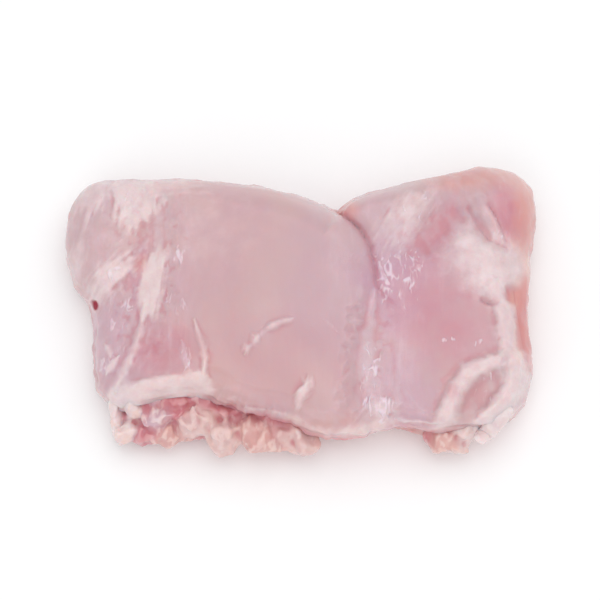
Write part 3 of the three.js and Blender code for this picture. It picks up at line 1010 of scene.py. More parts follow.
class Mesh:
    """Helpers that turn worked-out shapes into Blender objects.

    Attributes:
        shift: How far the forms move to lie in the CAD box, in millimetres.
    """

    NEAR = 6
    CARRY_ROUNDS = 12
    WARP_SHIFT = 17.1
    HAIR = 1e-6

    shift: Array = np.zeros(3)

    @staticmethod
    def made(shape: bmesh.types.BMesh, name: str) -> bpy.types.Mesh:
        """Turns a bmesh into a mesh and frees it.

        Args:
            shape: The bmesh.
            name: The mesh's name.

        Returns:
            The mesh.
        """
        mesh = bpy.data.meshes.new(name)
        shape.to_mesh(mesh)
        shape.free()
        return mesh

    @classmethod
    def box(cls, cells: tuple[int, int, int], finer_top: bool) -> bpy.types.Mesh:
        """A cube from -1 to 1 with its faces cut into cells.

        Args:
            cells: Cells along X, Y and Z.
            finer_top: Whether the top face has twice the cells each way.

        Returns:
            The mesh.
        """
        shape = bmesh.new()
        bmesh.ops.create_cube(shape, size=2)
        for axis, count in enumerate(cells):
            edges = [e for e in shape.edges if abs(e.verts[0].co[axis] - e.verts[1].co[axis]) > cls.HAIR]
            bmesh.ops.subdivide_edges(shape, edges=edges, cuts=count - 1, use_grid_fill=True)
        if finer_top:
            edges = [e for e in shape.edges if min(v.co.z for v in e.verts) > 1 - cls.HAIR]
            bmesh.ops.subdivide_edges(shape, edges=edges, cuts=1, use_grid_fill=True)
        return cls.made(shape, "box")

    @classmethod
    def ball(cls, around: int, along: int) -> bpy.types.Mesh:
        """A sphere of radius 1, with its poles on Z.

        Args:
            around: Segments round the poles.
            along: Rings from pole to pole.

        Returns:
            The mesh.
        """
        shape = bmesh.new()
        bmesh.ops.create_uvsphere(shape, u_segments=around, v_segments=along, radius=1)
        return cls.made(shape, "ball")

    @staticmethod
    def points(mesh: bpy.types.Mesh) -> Array:
        """The mesh's vertices.

        Args:
            mesh: The mesh.

        Returns:
            Their x, y and z, one vertex a row.
        """
        points = np.empty(len(mesh.vertices) * 3)
        mesh.vertices.foreach_get("co", points)
        return points.reshape(-1, 3)

    @staticmethod
    def put(mesh: bpy.types.Mesh, points: Array) -> None:
        """Moves the mesh's vertices to the given rows."""
        mesh.vertices.foreach_set("co", points.astype(np.float32).ravel())
        mesh.update()

    @staticmethod
    def normals(mesh: bpy.types.Mesh) -> Array:
        """The directions out of the surface.

        Args:
            mesh: The mesh.

        Returns:
            Directions of length 1, one vertex a row.
        """
        normals = np.empty(len(mesh.vertices) * 3, np.float32)
        mesh.vertex_normals.foreach_get("vector", normals)
        return normals.reshape(-1, 3).astype(float)

    @classmethod
    def hollows(cls, mesh: bpy.types.Mesh, rounds: int) -> Array:
        """How deep each vertex lies below its surroundings.

        Args:
            mesh: The mesh.
            rounds: Rounds of averaging, which set how wide the surroundings are.

        Returns:
            The depths, above 0 in a hollow and below 0 on a ridge.
        """
        points = cls.points(mesh)
        return ((cls.averaged(mesh, points, rounds) - points) * cls.normals(mesh)).sum(axis=1)

    @staticmethod
    def averaged(mesh: bpy.types.Mesh, values: Array, rounds: int) -> Array:
        """Evens out values over the mesh.

        Args:
            mesh: The mesh.
            values: The values of each vertex, one row a vertex.
            rounds: Times that each vertex takes the mean of its neighbours.

        Returns:
            The evened values.
        """
        edges = np.empty(len(mesh.edges) * 2, np.int32)
        mesh.edges.foreach_get("vertices", edges)
        here, there = np.concatenate([edges.reshape(-1, 2), edges.reshape(-1, 2)[:, ::-1]]).T
        count = np.bincount(here, minlength=len(values))
        for _ in range(rounds):
            columns = [np.bincount(here, row[there], len(values)) / count for row in values.T]
            values = np.stack(columns, axis=1)
        return values

    @classmethod
    def roughen(cls, mesh: bpy.types.Mesh, height: float, wave: Any, seed: float = 0, count: int = 3) -> None:
        """Moves the surface in and out by layered noise.

        Args:
            mesh: The mesh.
            height: How far it moves at most.
            wave: Length of the coarsest waves, one for all directions or one each.
            seed: Place in the noise.
            count: Layers of noise.
        """
        points = cls.points(mesh)
        noise = LUMPS.layers(points / wave + seed, count)
        cls.put(mesh, points + cls.normals(mesh) * (height * noise)[:, None])

    @classmethod
    def warp(cls, mesh: bpy.types.Mesh, reach: float, wave: float, seed: float = 0) -> None:
        """Pulls the mesh about by noise, in all three directions.

        Args:
            mesh: The mesh.
            reach: How far it is pulled at most.
            wave: Length of the pull's waves.
            seed: Place in the noise.
        """
        points = cls.points(mesh)
        pull = [LUMPS.layers(points / wave + seed + cls.WARP_SHIFT * axis, 2) for axis in range(3)]
        cls.put(mesh, points + reach * np.stack(pull, axis=1))

    @classmethod
    def fuse(cls, meshes: list[bpy.types.Mesh], cell: float, rounds: int) -> bpy.types.Mesh:
        """Melts closed meshes into one.

        Args:
            meshes: The meshes, with their tissues painted.
            cell: Size of the cells that the new mesh is made of.
            rounds: Rounds of smoothing.

        Returns:
            The new mesh, with the tissues of the nearest old points.
        """
        shape = bmesh.new()
        for mesh in meshes:
            shape.from_mesh(mesh)
        joined = cls.made(shape, "joined")
        holder = bpy.data.objects.new("joined", joined)
        bpy.context.scene.collection.objects.link(holder)
        melt = holder.modifiers.new("melt", "REMESH")
        melt.mode = "VOXEL"
        melt.voxel_size = cell
        fused = bpy.data.meshes.new_from_object(holder.evaluated_get(bpy.context.evaluated_depsgraph_get()))
        bpy.data.objects.remove(holder)
        shape = bmesh.new()
        shape.from_mesh(fused)
        every_way = {"use_axis_x": True, "use_axis_y": True, "use_axis_z": True}
        for _ in range(rounds):
            bmesh.ops.smooth_vert(shape, verts=shape.verts, factor=0.5, **every_way)
        shape.to_mesh(fused)
        shape.free()
        cls._carry(joined, fused)
        return fused

    @classmethod
    def _carry(cls, source: bpy.types.Mesh, target: bpy.types.Mesh) -> None:
        """Paints a mesh with the tissues of another's nearest points.

        Args:
            source: The painted mesh.
            target: The mesh to paint.
        """
        tree = KDTree(len(source.vertices))
        for index, point in enumerate(cls.points(source)):
            tree.insert(point, index)
        tree.balance()
        found = [tree.find_n(point, cls.NEAR) for point in cls.points(target)]
        near = np.array([[index for _, index, _ in row] for row in found])
        values = np.empty(len(source.vertices), np.float32)
        tissues = {}
        for tissue in Tissue:
            source.attributes[tissue.value].data.foreach_get("value", values)
            mean = values[near].mean(axis=1)[:, None]
            tissues[tissue] = cls.averaged(target, mean, cls.CARRY_ROUNDS)[:, 0]
        cls.paint(target, tissues)

    @staticmethod
    def paint(mesh: bpy.types.Mesh, tissues: dict[Tissue, Array]) -> None:
        """Keeps what each vertex is made of as attributes.

        Args:
            mesh: The mesh.
            tissues: Share of each tissue at each vertex. A tissue left out is 0.
        """
        for tissue in Tissue:
            share = tissues.get(tissue, np.zeros(len(mesh.vertices)))
            values = np.clip(share, 0, 1).astype(np.float32)
            layer = mesh.attributes.get(tissue.value) or mesh.attributes.new(tissue.value, "FLOAT", "POINT")
            layer.data.foreach_set("value", values)

    @staticmethod
    def stain(mesh: bpy.types.Mesh, tissue: Tissue, share: Array) -> None:
        """Adds more of one tissue to a painted mesh.

        Args:
            mesh: The mesh.
            tissue: The tissue.
            share: Least share of it at each vertex.
        """
        layer = mesh.attributes[tissue.value].data
        values = np.empty(len(mesh.vertices), np.float32)
        layer.foreach_get("value", values)
        layer.foreach_set("value", np.maximum(values, share).astype(np.float32))

    @classmethod
    def piece(cls, name: str, mesh: bpy.types.Mesh, material: bpy.types.Material) -> bpy.types.Object:
        """Makes a shaped mesh in millimetres a piece of the thigh, in the frame's metres.

        Args:
            name: The piece's name.
            mesh: Its mesh.
            material: Its finish.

        Returns:
            The piece, which rides on the thigh's body.
        """
        cls.put(mesh, (cls.points(mesh) + cls.shift) * MM)
        mesh.name = name
        mesh.materials.append(material)
        mesh.polygons.foreach_set("use_smooth", np.ones(len(mesh.polygons), bool))
        piece = bpy.data.objects.new(name, mesh)
        bpy.context.scene.collection.objects.link(piece)
        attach(piece, BODY)
        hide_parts(NODE)
        mesh.calc_loop_triangles()
        log.info("%s: %d triangles", name, len(mesh.loop_triangles))
        return piece


@dataclass(frozen=True)
class Slab:
    """A rounded slab of meat, whose top and base roll over to meet at the rim.

    Attributes:
        cells: Cells of the starting cube.
        top_roll: How far in from the rim the top takes to level out, at the near side and at the other sides.
        under_roll: The same for the base.
        finer_top: Whether the top is meshed more finely.
    """

    FACE_TURN = math.radians(66)
    ROLL_CELLS = 0.6
    FRAY_REACH = 1.6

    cells: tuple[int, int, int]
    top_roll: tuple[float, float]
    under_roll: float
    finer_top: bool

    def shape(
        self,
        radius_at: Callable[[Array], Array],
        top_at: Callable[[Array, Array], Array],
        rim_at: Callable[[Array], Array],
        base_at: Callable[[Array], Array],
        fray_at: Callable[[Array], Array],
    ) -> bpy.types.Mesh:
        """Builds the slab.

        Args:
            radius_at: Distance of the rim from the middle in each direction.
            top_at: Height of the top at each point.
            rim_at: Height of the rim in each direction.
            base_at: Height of the base in each direction.
            fray_at: How far the rim is frayed out or in, in each direction.

        Returns:
            The mesh, in millimetres.
        """
        mesh = Mesh.box(self.cells, self.finer_top)
        u, v, w = Mesh.points(mesh).T
        angle = np.arctan2(v * PLAN.width, u * PLAN.length)
        radius = radius_at(angle)
        width = np.where(w > 0, blend(*self.top_roll, PLAN.wrap(angle)), self.under_roll)
        share = np.maximum(abs(u), abs(v))
        level = (radius - width) / (radius + self.ROLL_CELLS * width)
        on_face = abs(w) > 1 - Mesh.HAIR
        on_roll = self.FACE_TURN * np.maximum(0, (share - level) / (1 - level))
        turn = np.where(on_face, on_roll, blend(math.pi / 2, self.FACE_TURN, abs(w)))
        rolled = width * (1 - np.sin(turn))
        inward = np.where(on_face & (share < level), radius - share / level * (radius - width), rolled)
        out = radius - inward + fray_at(angle) * np.exp(-inward / self.FRAY_REACH)
        x, y = out * np.cos(angle), out * np.sin(angle)
        face = np.where(w > 0, top_at(x, y), base_at(angle))
        Mesh.put(mesh, np.stack([x, y, blend(rim_at(angle), face, np.cos(turn))], axis=1))
        return mesh


def rim_wave(angle: Array, phase: float) -> Array:
    """How a rim rises and dips round the edge.

    Args:
        angle: Directions in radians.
        phase: Where the waves start, in radians.

    Returns:
        How far the rim rises in each direction.
    """
    return 1.1 * np.sin(3 * angle + phase) + 0.8 * np.sin(7 * angle + 2 * phase)


@dataclass(frozen=True)
class OuterMuscle:
    """The sheet of outer muscles on top.

    Attributes:
        rim: Height of the rim at the near side and at the other sides.
        base: Height of its underside at the near side and at the other sides.
        slab: Its slab.
        ragged: How far the cut edge is frayed at the near side and at the other sides.
        seams: Seams along the sides: the height of each, how far it swings and where the swing starts.
        seam_half: Half the width of a seam.
        seam_depth: How deep a seam is.
        side_grooves: Depth of the long grooves on the sides.
        side_grain: Depth of the grain on the sides.
        lip_shade_red: How red the painted shade under the near edge is.
        lip_shade_dark: How dark that painted shade is.
        hollow_rounds: How wide the surroundings are that a point's depth is told from.
    """

    FRAY_WAVES = 11
    SEAM_WANDER = 3.2
    GRAIN_WAVE = 2.4

    rim: tuple[float, float] = (11.8, 7.8)
    base: tuple[float, float] = (5.2, 0.6)
    slab: Slab = Slab(cells=(166, 102, 16), top_roll=(6.5, 14), under_roll=6.5, finer_top=True)
    ragged: tuple[float, float] = (0.7, 0.4)
    seams: tuple[tuple[float, float, float], ...] = ((7.5, 2.4, 0.8), (11.5, 2.0, 3.0))
    seam_half: float = 0.7
    seam_depth: float = 0.6
    side_grooves: float = 0.6
    side_grain: float = 0.18
    lip_shade_red: float = 0.8
    lip_shade_dark: float = 0.7
    hollow_rounds: int = 14

    def fray(self, angle: Array) -> Array:
        """Small unevenness of the cut edge.

        Args:
            angle: Directions in radians.

        Returns:
            How far the edge is moved out or in, in each direction.
        """
        around = np.stack([np.cos(angle), np.sin(angle), np.zeros_like(angle)], axis=1)
        return blend(*self.ragged, PLAN.wrap(angle)) * EDGES.layers(around * self.FRAY_WAVES, 3)

    def seam(self, points: Array) -> Array:
        """Where the seams between two muscles run along the sides.

        Args:
            points: The sheet's points.

        Returns:
            The seam's share at each point, from 0 to 1.
        """
        angle = np.arctan2(points[:, 1], points[:, 0])
        wander = self.SEAM_WANDER * SPREAD.layers(points / (16, 16, 30) + 2, 2)
        found = np.zeros(len(points))
        for level, swing, phase in self.seams:
            off = points[:, 2] - level - swing * np.sin(2 * angle + phase) - wander
            kept = rise(0.0, 0.5, SPREAD.at(points / (16, 16, 40) + level))
            found = np.maximum(found, kept * np.exp(-((off / self.seam_half) ** 2)))
        return found

    def height(self, x: Array, y: Array, fine: bool = False) -> Array:
        """Height of the sheet's surface over the plan, with the roll at its edge.

        Args:
            x: Distances to the right.
            y: Distances to the far side.
            fine: Whether the fine relief counts too.

        Returns:
            The heights.
        """
        angle = np.arctan2(y, x)
        wrap = PLAN.wrap(angle)
        share = (PLAN.edge_radius(angle) - np.hypot(x, y)) / blend(*self.slab.top_roll, wrap)
        top = self.top(x, y) if fine else RELIEF.form(Ground(x, y))
        return blend(blend(*self.rim, wrap), top, roll(share))

    def top(self, x: Array, y: Array) -> Array:
        """Height of the top with its fine relief.

        Args:
            x: Distances to the right.
            y: Distances to the far side.

        Returns:
            The heights.
        """
        ground = Ground(x, y)
        return RELIEF.form(ground) + RELIEF.fine(ground, RELIEF.tissues(ground)[Tissue.FAT])

    def build(self) -> bpy.types.Mesh:
        """Shapes the sheet, says what it is made of and paints its shade.

        Returns:
            The mesh, in millimetres.
        """
        mesh = self.slab.shape(
            PLAN.edge_radius,
            self.top,
            lambda angle: blend(*self.rim, PLAN.wrap(angle)) + rim_wave(angle, 0.7),
            lambda angle: blend(*self.base, PLAN.wrap(angle)),
            self.fray,
        )
        points, normals = Mesh.points(mesh), Mesh.normals(mesh)
        upward = normals[:, 2]
        aside = rise(0.75, 0.2, upward)
        seam = self.seam(points) * aside
        grooves = LUMPS.layers(points * (0.1, 0.1, 0.26) + 5, 2)
        grain = LUMPS.layers(points / self.GRAIN_WAVE)
        moved = aside * (self.side_grooves * grooves + self.side_grain * grain) - self.seam_depth * seam
        Mesh.put(mesh, points + normals * moved[:, None])
        tissues = RELIEF.tissues(Ground(points[:, 0], points[:, 1]))
        for tissue in (Tissue.BLOOD, Tissue.SILVER):
            tissues[tissue] *= rise(0.2, 0.6, upward)
        self._dress_sides(points, upward, tissues)
        # The underside of the near edge, which is painted red and dark as shade.
        lip = rise(0.35, -0.15, upward) * (1 - PLAN.wrap(np.arctan2(points[:, 1], points[:, 0])))
        # Painted shade: the hollows are painted deep red, less where there is fat.
        hollows = Mesh.hollows(mesh, self.hollow_rounds)
        shaded = (0.45 - 0.3 * tissues[Tissue.FAT]) * rise(0.015, 0.16, hollows)
        # Lays the painted shade under the near edge and in the hollows. The seams are painted darker and the
        # ridges whiter with film.
        for tissue, more in (
            (Tissue.ROSE, self.lip_shade_red * lip),
            (Tissue.DEEP, 0.3 * seam),
            (Tissue.DEEP, self.lip_shade_dark * lip),
            (Tissue.DEEP, shaded),
            (Tissue.FILM, 0.35 * rise(0.01, 0.09, -hollows)),
        ):
            tissues[tissue] = np.maximum(tissues[tissue], more)
        Mesh.paint(mesh, tissues)
        return mesh

    @staticmethod
    def _dress_sides(points: Array, upward: Array, tissues: dict[Tissue, Array]) -> None:
        """Gives the sides their own mixture of meat, fat and veils of film.

        Args:
            points: The sheet's points.
            upward: How far the surface faces up at each point.
            tissues: Share of each tissue, which is changed.
        """
        side = rise(0.5, -0.2, upward)
        uneven = LUMPS.layers(points * (0.09, 0.09, 0.24) + 3)
        veil = side * rise(-0.15, 0.45, SPREAD.layers(points * (0.06, 0.06, 0.13) + 12))
        salmon = np.maximum(tissues[Tissue.SALMON], side * (0.45 + 0.5 * uneven))
        tissues[Tissue.SALMON] = salmon * (1 - 0.7 * veil)
        tissues[Tissue.ROSE] *= 1 - 0.6 * veil
        tissues[Tissue.FILM] = np.maximum(tissues[Tissue.FILM], 0.8 * veil)
        fat = tissues[Tissue.FAT] * (1 - 0.5 * side)
        tissues[Tissue.FAT] = np.maximum(fat, side * rise(0.2, 0.6, uneven))


@dataclass(frozen=True)
class UnderMuscle:
    """The slab of under muscles, flat where the meat rests.

    Attributes:
        rim: Height of its rim.
        top: Height of its top, inside the sheet.
        inset: How far it is drawn in under the sheet at the near side and at the other sides.
        lumps: Height of its lumps and of the grain on them.
        hollow: Depth of the hollows in its underside.
        slab: Its slab.
        bulges: Where the muscles' ends swell out of the rim: the place, reach and height of each.
    """

    LUMP_WAVE = 7
    GRAIN_WAVE = 2.2
    HOLLOW_WAVE = 9

    rim: float = 5
    top: float = 10
    inset: tuple[float, float] = (1.5, 5)
    lumps: tuple[float, float] = (0.9, 0.3)
    hollow: float = 0.35
    slab: Slab = Slab(cells=(170, 104, 18), top_roll=(7, 7), under_roll=6, finer_top=False)
    bulges: tuple[tuple[Place, float, float], ...] = (
        ((-0.4, -0.72), 6, 4.5), ((-0.19, -0.8), 10, 5.5), ((0.14, -0.95), 10, -1.5), ((0.6, -0.92), 8, 3.5),
        ((0.95, -0.12), 12, 5.5), ((0.2, 0.68), 7, 4.5), ((-0.96, 0.42), 10, 4.2), ((-0.84, -0.5), 9, 3),
    )

    def radius(self, angle: Array) -> Array:
        """Distance of the rim from the middle, drawn in under the sheet and swelling out at the bulges.

        Args:
            angle: Directions in radians.

        Returns:
            The distance in each direction.
        """
        radius = PLAN.edge_radius(angle) - blend(*self.inset, PLAN.wrap(angle))
        x, y = radius * np.cos(angle), radius * np.sin(angle)
        for place, reach, out in self.bulges:
            middle = PLAN.spot(place)
            radius = radius + out * np.exp(-(((x - middle[0]) ** 2 + (y - middle[1]) ** 2) / reach**2))
        return radius

    def build(self) -> bpy.types.Mesh:
        """Shapes the slab and says what it is made of.

        Returns:
            The mesh, in millimetres.
        """
        mesh = self.slab.shape(
            self.radius,
            lambda x, y: np.full_like(x, self.top),
            lambda angle: self.rim + rim_wave(angle, 2.9) / 2,
            np.zeros_like,
            np.zeros_like,
        )
        points, normals = Mesh.points(mesh), Mesh.normals(mesh)
        lumps = self.lumps[0] * LUMPS.layers(points / self.LUMP_WAVE + 2, 2)
        lumps = lumps + self.lumps[1] * LUMPS.layers(points / self.GRAIN_WAVE + 9)
        hollow = self.hollow * rise(0, 0.6, LUMPS.layers(points / self.HOLLOW_WAVE + 4))
        moved = points + normals * (lumps * rise(-0.9, -0.3, normals[:, 2]))[:, None]
        moved[:, 2] = np.maximum(moved[:, 2], 0) + hollow * rise(-0.5, -0.95, normals[:, 2])
        Mesh.put(mesh, moved)
        uneven = LUMPS.layers(points / 6 + 8)
        Mesh.paint(mesh, {
            Tissue.SALMON: 0.6 + 0.4 * uneven,
            Tissue.ROSE: 0.35 - 0.5 * uneven,
            Tissue.FAT: rise(0.15, 0.5, LUMPS.layers(points / 8 + 6)),
        })
        return mesh


@dataclass(frozen=True)
class FatTag:
    """A loose tag of fat at the edge, from root to tip.

    Attributes:
        line: Its line over the plan.
        droop: How far the tip hangs below the sheet's own surface.
        radius: Its thickness at the root and at the tip.
        sink: How deep its middle line lies in the sheet.
        flatness: Its height as a share of its width.
    """

    SPINE_STEPS = 12
    CELLS = (44, 72)
    TILT_STEP = 2.0
    TILT_LIMIT = 0.8
    BLUNTNESS = 0.5

    line: Line
    droop: float
    radius: tuple[float, float]
    sink: float = 1.6
    flatness: float = 0.75

    def build(self, sheet: OuterMuscle) -> bpy.types.Mesh:
        """Draws a ball out along the tag's line.

        Args:
            sheet: The sheet that the tag lies on.

        Returns:
            The mesh, in millimetres.
        """
        plan = PLAN.spots(self.line.places)
        share = np.linspace(0, 1, len(plan))
        height = sheet.height(plan[:, 0], plan[:, 1], fine=True) - self.sink - self.droop * share**2
        spine = curve_through(np.column_stack([plan, height]), self.SPINE_STEPS)
        length = np.concatenate([[0], np.cumsum(np.linalg.norm(np.diff(spine, axis=0), axis=1))])
        mesh = Mesh.ball(*self.CELLS)
        ball = Mesh.points(mesh)
        along = (1 - ball[:, 2]) / 2 * length[-1]
        middle = np.stack([np.interp(along, length, spine[:, axis]) for axis in range(3)], axis=1)
        slope = np.gradient(spine, length, axis=0)
        ahead = np.stack([np.interp(along, length, slope[:, axis]) for axis in range(3)], axis=1)
        ahead /= np.linalg.norm(ahead, axis=1)[:, None]
        aside = np.cross((0, 0, 1), ahead)
        aside /= np.linalg.norm(aside, axis=1)[:, None]
        left, right = middle + self.TILT_STEP * aside, middle - self.TILT_STEP * aside
        tilt = sheet.height(left[:, 0], left[:, 1]) - sheet.height(right[:, 0], right[:, 1])
        aside[:, 2] = np.clip(tilt / (2 * self.TILT_STEP), -self.TILT_LIMIT, self.TILT_LIMIT)
        aside /= np.linalg.norm(aside, axis=1)[:, None]
        over = np.cross(ahead, aside)
        ring = np.hypot(ball[:, 0], ball[:, 1])
        thick = blend(*self.radius, along / length[-1]) * np.maximum(ring, Mesh.HAIR) ** -self.BLUNTNESS
        offset = aside * (ball[:, 0] * thick)[:, None] + over * (ball[:, 1] * thick * self.flatness)[:, None]
        Mesh.put(mesh, middle + offset)
        Mesh.roughen(mesh, height=0.45, wave=4.5, seed=self.radius[1])
        Mesh.roughen(mesh, height=0.12, wave=1.8, seed=self.radius[0])
        points = Mesh.points(mesh)
        Mesh.paint(mesh, {Tissue.FAT: 0.86 + 0.2 * LUMPS.layers(points / 4)})
        return mesh


@dataclass(frozen=True)
class TornLobe:
    """A torn lobe of fat or meat under the edge.

    Attributes:
        at: Its place on the plan.
        height: Height of its middle.
        half: Half sizes in millimetres.
        turn: Its turn in degrees.
        tissues: What it is made of.
        seed: Place in the noise that shapes it.
    """

    CELLS = (32, 26)
    WARP = 0.4
    WARP_WAVE = 1.6

    at: Place
    height: float
    half: Size
    turn: float
    tissues: tuple[tuple[Tissue, float], ...]
    seed: float

    def build(self) -> bpy.types.Mesh:
        """Shapes the lobe.

        Returns:
            The mesh, in millimetres.
        """
        mesh = Mesh.ball(*self.CELLS)
        points = Mesh.points(mesh) * self.half
        along, across = turned(points[:, 0], points[:, 1], -self.turn)
        middle = PLAN.spot(self.at)
        placed = np.stack([along + middle[0], across + middle[1], points[:, 2] + self.height], axis=1)
        Mesh.put(mesh, placed)
        Mesh.warp(mesh, self.WARP * min(self.half), self.WARP_WAVE * min(self.half), self.seed)
        uneven = LUMPS.layers(Mesh.points(mesh) / 3 + self.seed)
        Mesh.paint(mesh, {tissue: weight + 0.35 * uneven for tissue, weight in self.tissues})
        return mesh


CREAM = ((Tissue.FAT, 0.85), (Tissue.SALMON, 0.25))
PEACH = ((Tissue.FAT, 0.5), (Tissue.SALMON, 0.6))
ORANGE = ((Tissue.SALMON, 0.9), (Tissue.FAT, 0.3), (Tissue.ROSE, 0.15))
RED = ((Tissue.ROSE, 0.9), (Tissue.DEEP, 0.8), (Tissue.SALMON, 0.2))
PINK = ((Tissue.ROSE, 0.3), (Tissue.FILM, 0.8), (Tissue.MAUVE, 0.3))


@dataclass(frozen=True)
class TornEdge:
    """A stretch of torn tissue under the edge, of loose tags, large lobes and strewn small lobes.

    Attributes:
        line: The line that the small lobes are strewn along.
        count: Number of small lobes.
        seed: Seed of the strewing.
        spread: How far the small lobes lie from the line.
        height: Height of the small lobes' middles at the line's start and end.
        tags: The loose tags of fat.
        lobes: The large lobes.
    """

    MIXTURES = (CREAM, PEACH, RED, CREAM, ORANGE, PEACH, PINK)
    CELL = 0.36
    SMOOTH_ROUNDS = 6
    HOLLOW_ROUNDS = 14
    LOWEST = 0.15
    SMALL_HALF = ((1.2, 1.8, 1.0), (2.2, 3.4, 1.8))
    SMALL_HEIGHT = (-1.6, 1.2)
    SMALL_TURN = (-30, 30)

    line: Line
    count: int
    seed: int
    spread: float
    height: tuple[float, float]
    tags: tuple[FatTag, ...] = ()
    lobes: tuple[TornLobe, ...] = ()

    def build(self, sheet: OuterMuscle) -> bpy.types.Mesh:
        """Melts the tags and lobes into one, draws it into folds and paints the shade in its hollows.

        Args:
            sheet: The sheet that the tags lie on.

        Returns:
            The mesh, in millimetres.
        """
        parts = [tag.build(sheet) for tag in self.tags]
        parts += [lobe.build() for lobe in (*self.lobes, *self._strewn())]
        mesh = Mesh.fuse(parts, self.CELL, self.SMOOTH_ROUNDS)
        Mesh.warp(mesh, reach=1.1, wave=6.5, seed=2.2)
        Mesh.roughen(mesh, height=0.42, wave=(2.6, 7, 5), seed=1.5, count=2)
        Mesh.roughen(mesh, height=0.06, wave=1.1, seed=4.5)
        points = Mesh.points(mesh)
        points[:, 2] = np.maximum(points[:, 2], self.LOWEST)
        Mesh.put(mesh, points)
        hollows = Mesh.hollows(mesh, self.HOLLOW_ROUNDS)
        Mesh.stain(mesh, Tissue.SALMON, 0.7 * rise(0.1, 0.5, LUMPS.layers(points / 2.6 + 30)))
        Mesh.stain(mesh, Tissue.FAT, 0.7 * rise(0.15, 0.6, LUMPS.layers(points / (1.6, 4, 3) + 20)))
        # Fat on the ridges, and deep red in the hollows, partly the meat's colour and partly painted shade.
        Mesh.stain(mesh, Tissue.FAT, 0.6 * rise(0.04, 0.25, -hollows))
        Mesh.stain(mesh, Tissue.DEEP, rise(0.05, 0.5, hollows))
        return mesh

    def _strewn(self) -> list[TornLobe]:
        """Strews the small lobes.

        Returns:
            The lobes.
        """
        draw = np.random.default_rng(self.seed)
        path = self.line.points() / PLAN.spot((1, 1))
        lobes = []
        for number in range(self.count):
            share = (number + 0.5) / self.count
            middle = path[int(share * len(path))]
            aside = draw.uniform(-self.spread, self.spread, 2) / PLAN.spot((1, 1))
            half = tuple(draw.uniform(*self.SMALL_HALF))
            high = blend(*self.height, share) + draw.uniform(*self.SMALL_HEIGHT)
            tissues = self.MIXTURES[draw.integers(len(self.MIXTURES))]
            turn = draw.uniform(*self.SMALL_TURN)
            lobes.append(TornLobe(tuple(middle + aside), high, half, turn, tissues, self.seed + 0.7 * number))
        return lobes


TAGS = (
    FatTag(
        Line(((0.86, -0.74), (0.81, -0.83), (0.768, -0.91), (0.735, -0.975))),
        droop=-3.6, radius=(3.3, 2.4), sink=2.3, flatness=0.6,
    ),
    FatTag(Line(((-0.86, 0.78), (-0.94, 0.62), (-0.965, 0.4))), droop=3, radius=(3.4, 2.2), sink=2.6),
)

TORN_EDGES = (
    TornEdge(
        Line(((-0.7, -0.78), (-0.54, -0.78), (-0.4, -0.78), (-0.24, -0.85), (-0.06, -0.93))),
        count=9, seed=5, spread=1.6, height=(10, 8),
        tags=(
            FatTag(
                Line(((-0.74, -0.62), (-0.757, -0.74), (-0.755, -0.85), (-0.735, -0.94))),
                droop=4.0, radius=(2.2, 2.1), sink=0.9,
            ),
            FatTag(
                Line(((-0.7, -0.62), (-0.685, -0.73), (-0.645, -0.83))),
                droop=2.8, radius=(2.2, 2.0), sink=0.9,
            ),
        ),
        lobes=(
            TornLobe((-0.4, -0.68), 8.6, (23, 5.0, 4.6), -3, RED, 12.0),
            TornLobe((-0.41, -0.8), 5.2, (21, 5.0, 4.6), -3, RED, 14.0),
            TornLobe((-0.1, -0.84), 7.0, (13, 5.0, 4.8), -8, RED, 13.0),
            TornLobe((-0.7, -0.79), 5.0, (2.2, 3.4, 2.8), 0, RED, 15.0),
            TornLobe((-0.705, -0.89), 7.6, (3.2, 2.6, 2.4), 15, CREAM, 8.0),
            TornLobe((-0.59, -0.77), 11, (4.2, 3.0, 2.0), 10, PINK, 6.0),
            TornLobe((-0.625, -0.88), 6.6, (4.0, 3.4, 3.0), 10, RED, 5.0),
            TornLobe((-0.535, -0.91), 7.2, (3.4, 4.0, 3.0), 80, ORANGE, 9.0),
            TornLobe((-0.49, -0.76), 10.6, (5.2, 3.2, 2.4), 5, RED, 10.0),
            TornLobe((-0.415, -0.83), 10.2, (5.0, 4.4, 3.8), 20, PEACH, 1.0),
            TornLobe((-0.305, -0.91), 8.6, (4.8, 4.4, 3.8), 25, PEACH, 2.0),
            TornLobe((-0.165, -0.92), 8.8, (7.6, 5.2, 4.6), -8, ORANGE, 3.0),
            TornLobe((-0.02, -0.92), 8.6, (7.2, 4.0, 3.6), -24, PEACH, 4.0),
        ),
    ),
    TornEdge(
        Line(((0.57, -0.92), (0.63, -0.97), (0.69, -0.93))),
        count=3, seed=8, spread=0.8, height=(8, 7),
        lobes=(
            TornLobe((0.63, -0.89), 6.6, (7.5, 4.0, 3.6), 0, RED, 16.0),
            TornLobe((0.62, -0.94), 7.8, (5.2, 4.2, 3.2), -8, ORANGE, 7.0),
            TornLobe((0.685, -0.88), 9.6, (3.2, 3.0, 2.8), 20, CREAM, 11.0),
        ),
    ),
)


class Shade:
    """A shader value that Python's operators can be used on. Each operator adds one Math node."""

    def __init__(self, graph: "Graph", socket: bpy.types.NodeSocket) -> None:
        """Wraps a socket of a graph."""
        self.graph = graph
        self.socket = socket

    def _math(self, operation: str, *values: Any, clamp: bool = False) -> "Shade":
        """Adds one Math node, and gives back its value."""
        return self.graph.add("ShaderNodeMath", {"operation": operation, "use_clamp": clamp}, *values)

    def __add__(self, other: Any) -> "Shade":
        """Sum."""
        return self._math("ADD", self, other)

    def __radd__(self, other: Any) -> "Shade":
        """Sum."""
        return self._math("ADD", other, self)

    def __sub__(self, other: Any) -> "Shade":
        """Difference."""
        return self._math("SUBTRACT", self, other)

    def __rsub__(self, other: Any) -> "Shade":
        """Difference."""
        return self._math("SUBTRACT", other, self)

    def __mul__(self, other: Any) -> "Shade":
        """Product."""
        return self._math("MULTIPLY", self, other)

    def __rmul__(self, other: Any) -> "Shade":
        """Product."""
        return self._math("MULTIPLY", other, self)

    def held(self) -> "Shade":
        """The value kept between 0 and 1."""
        return self._math("ADD", self, 0.0, clamp=True)


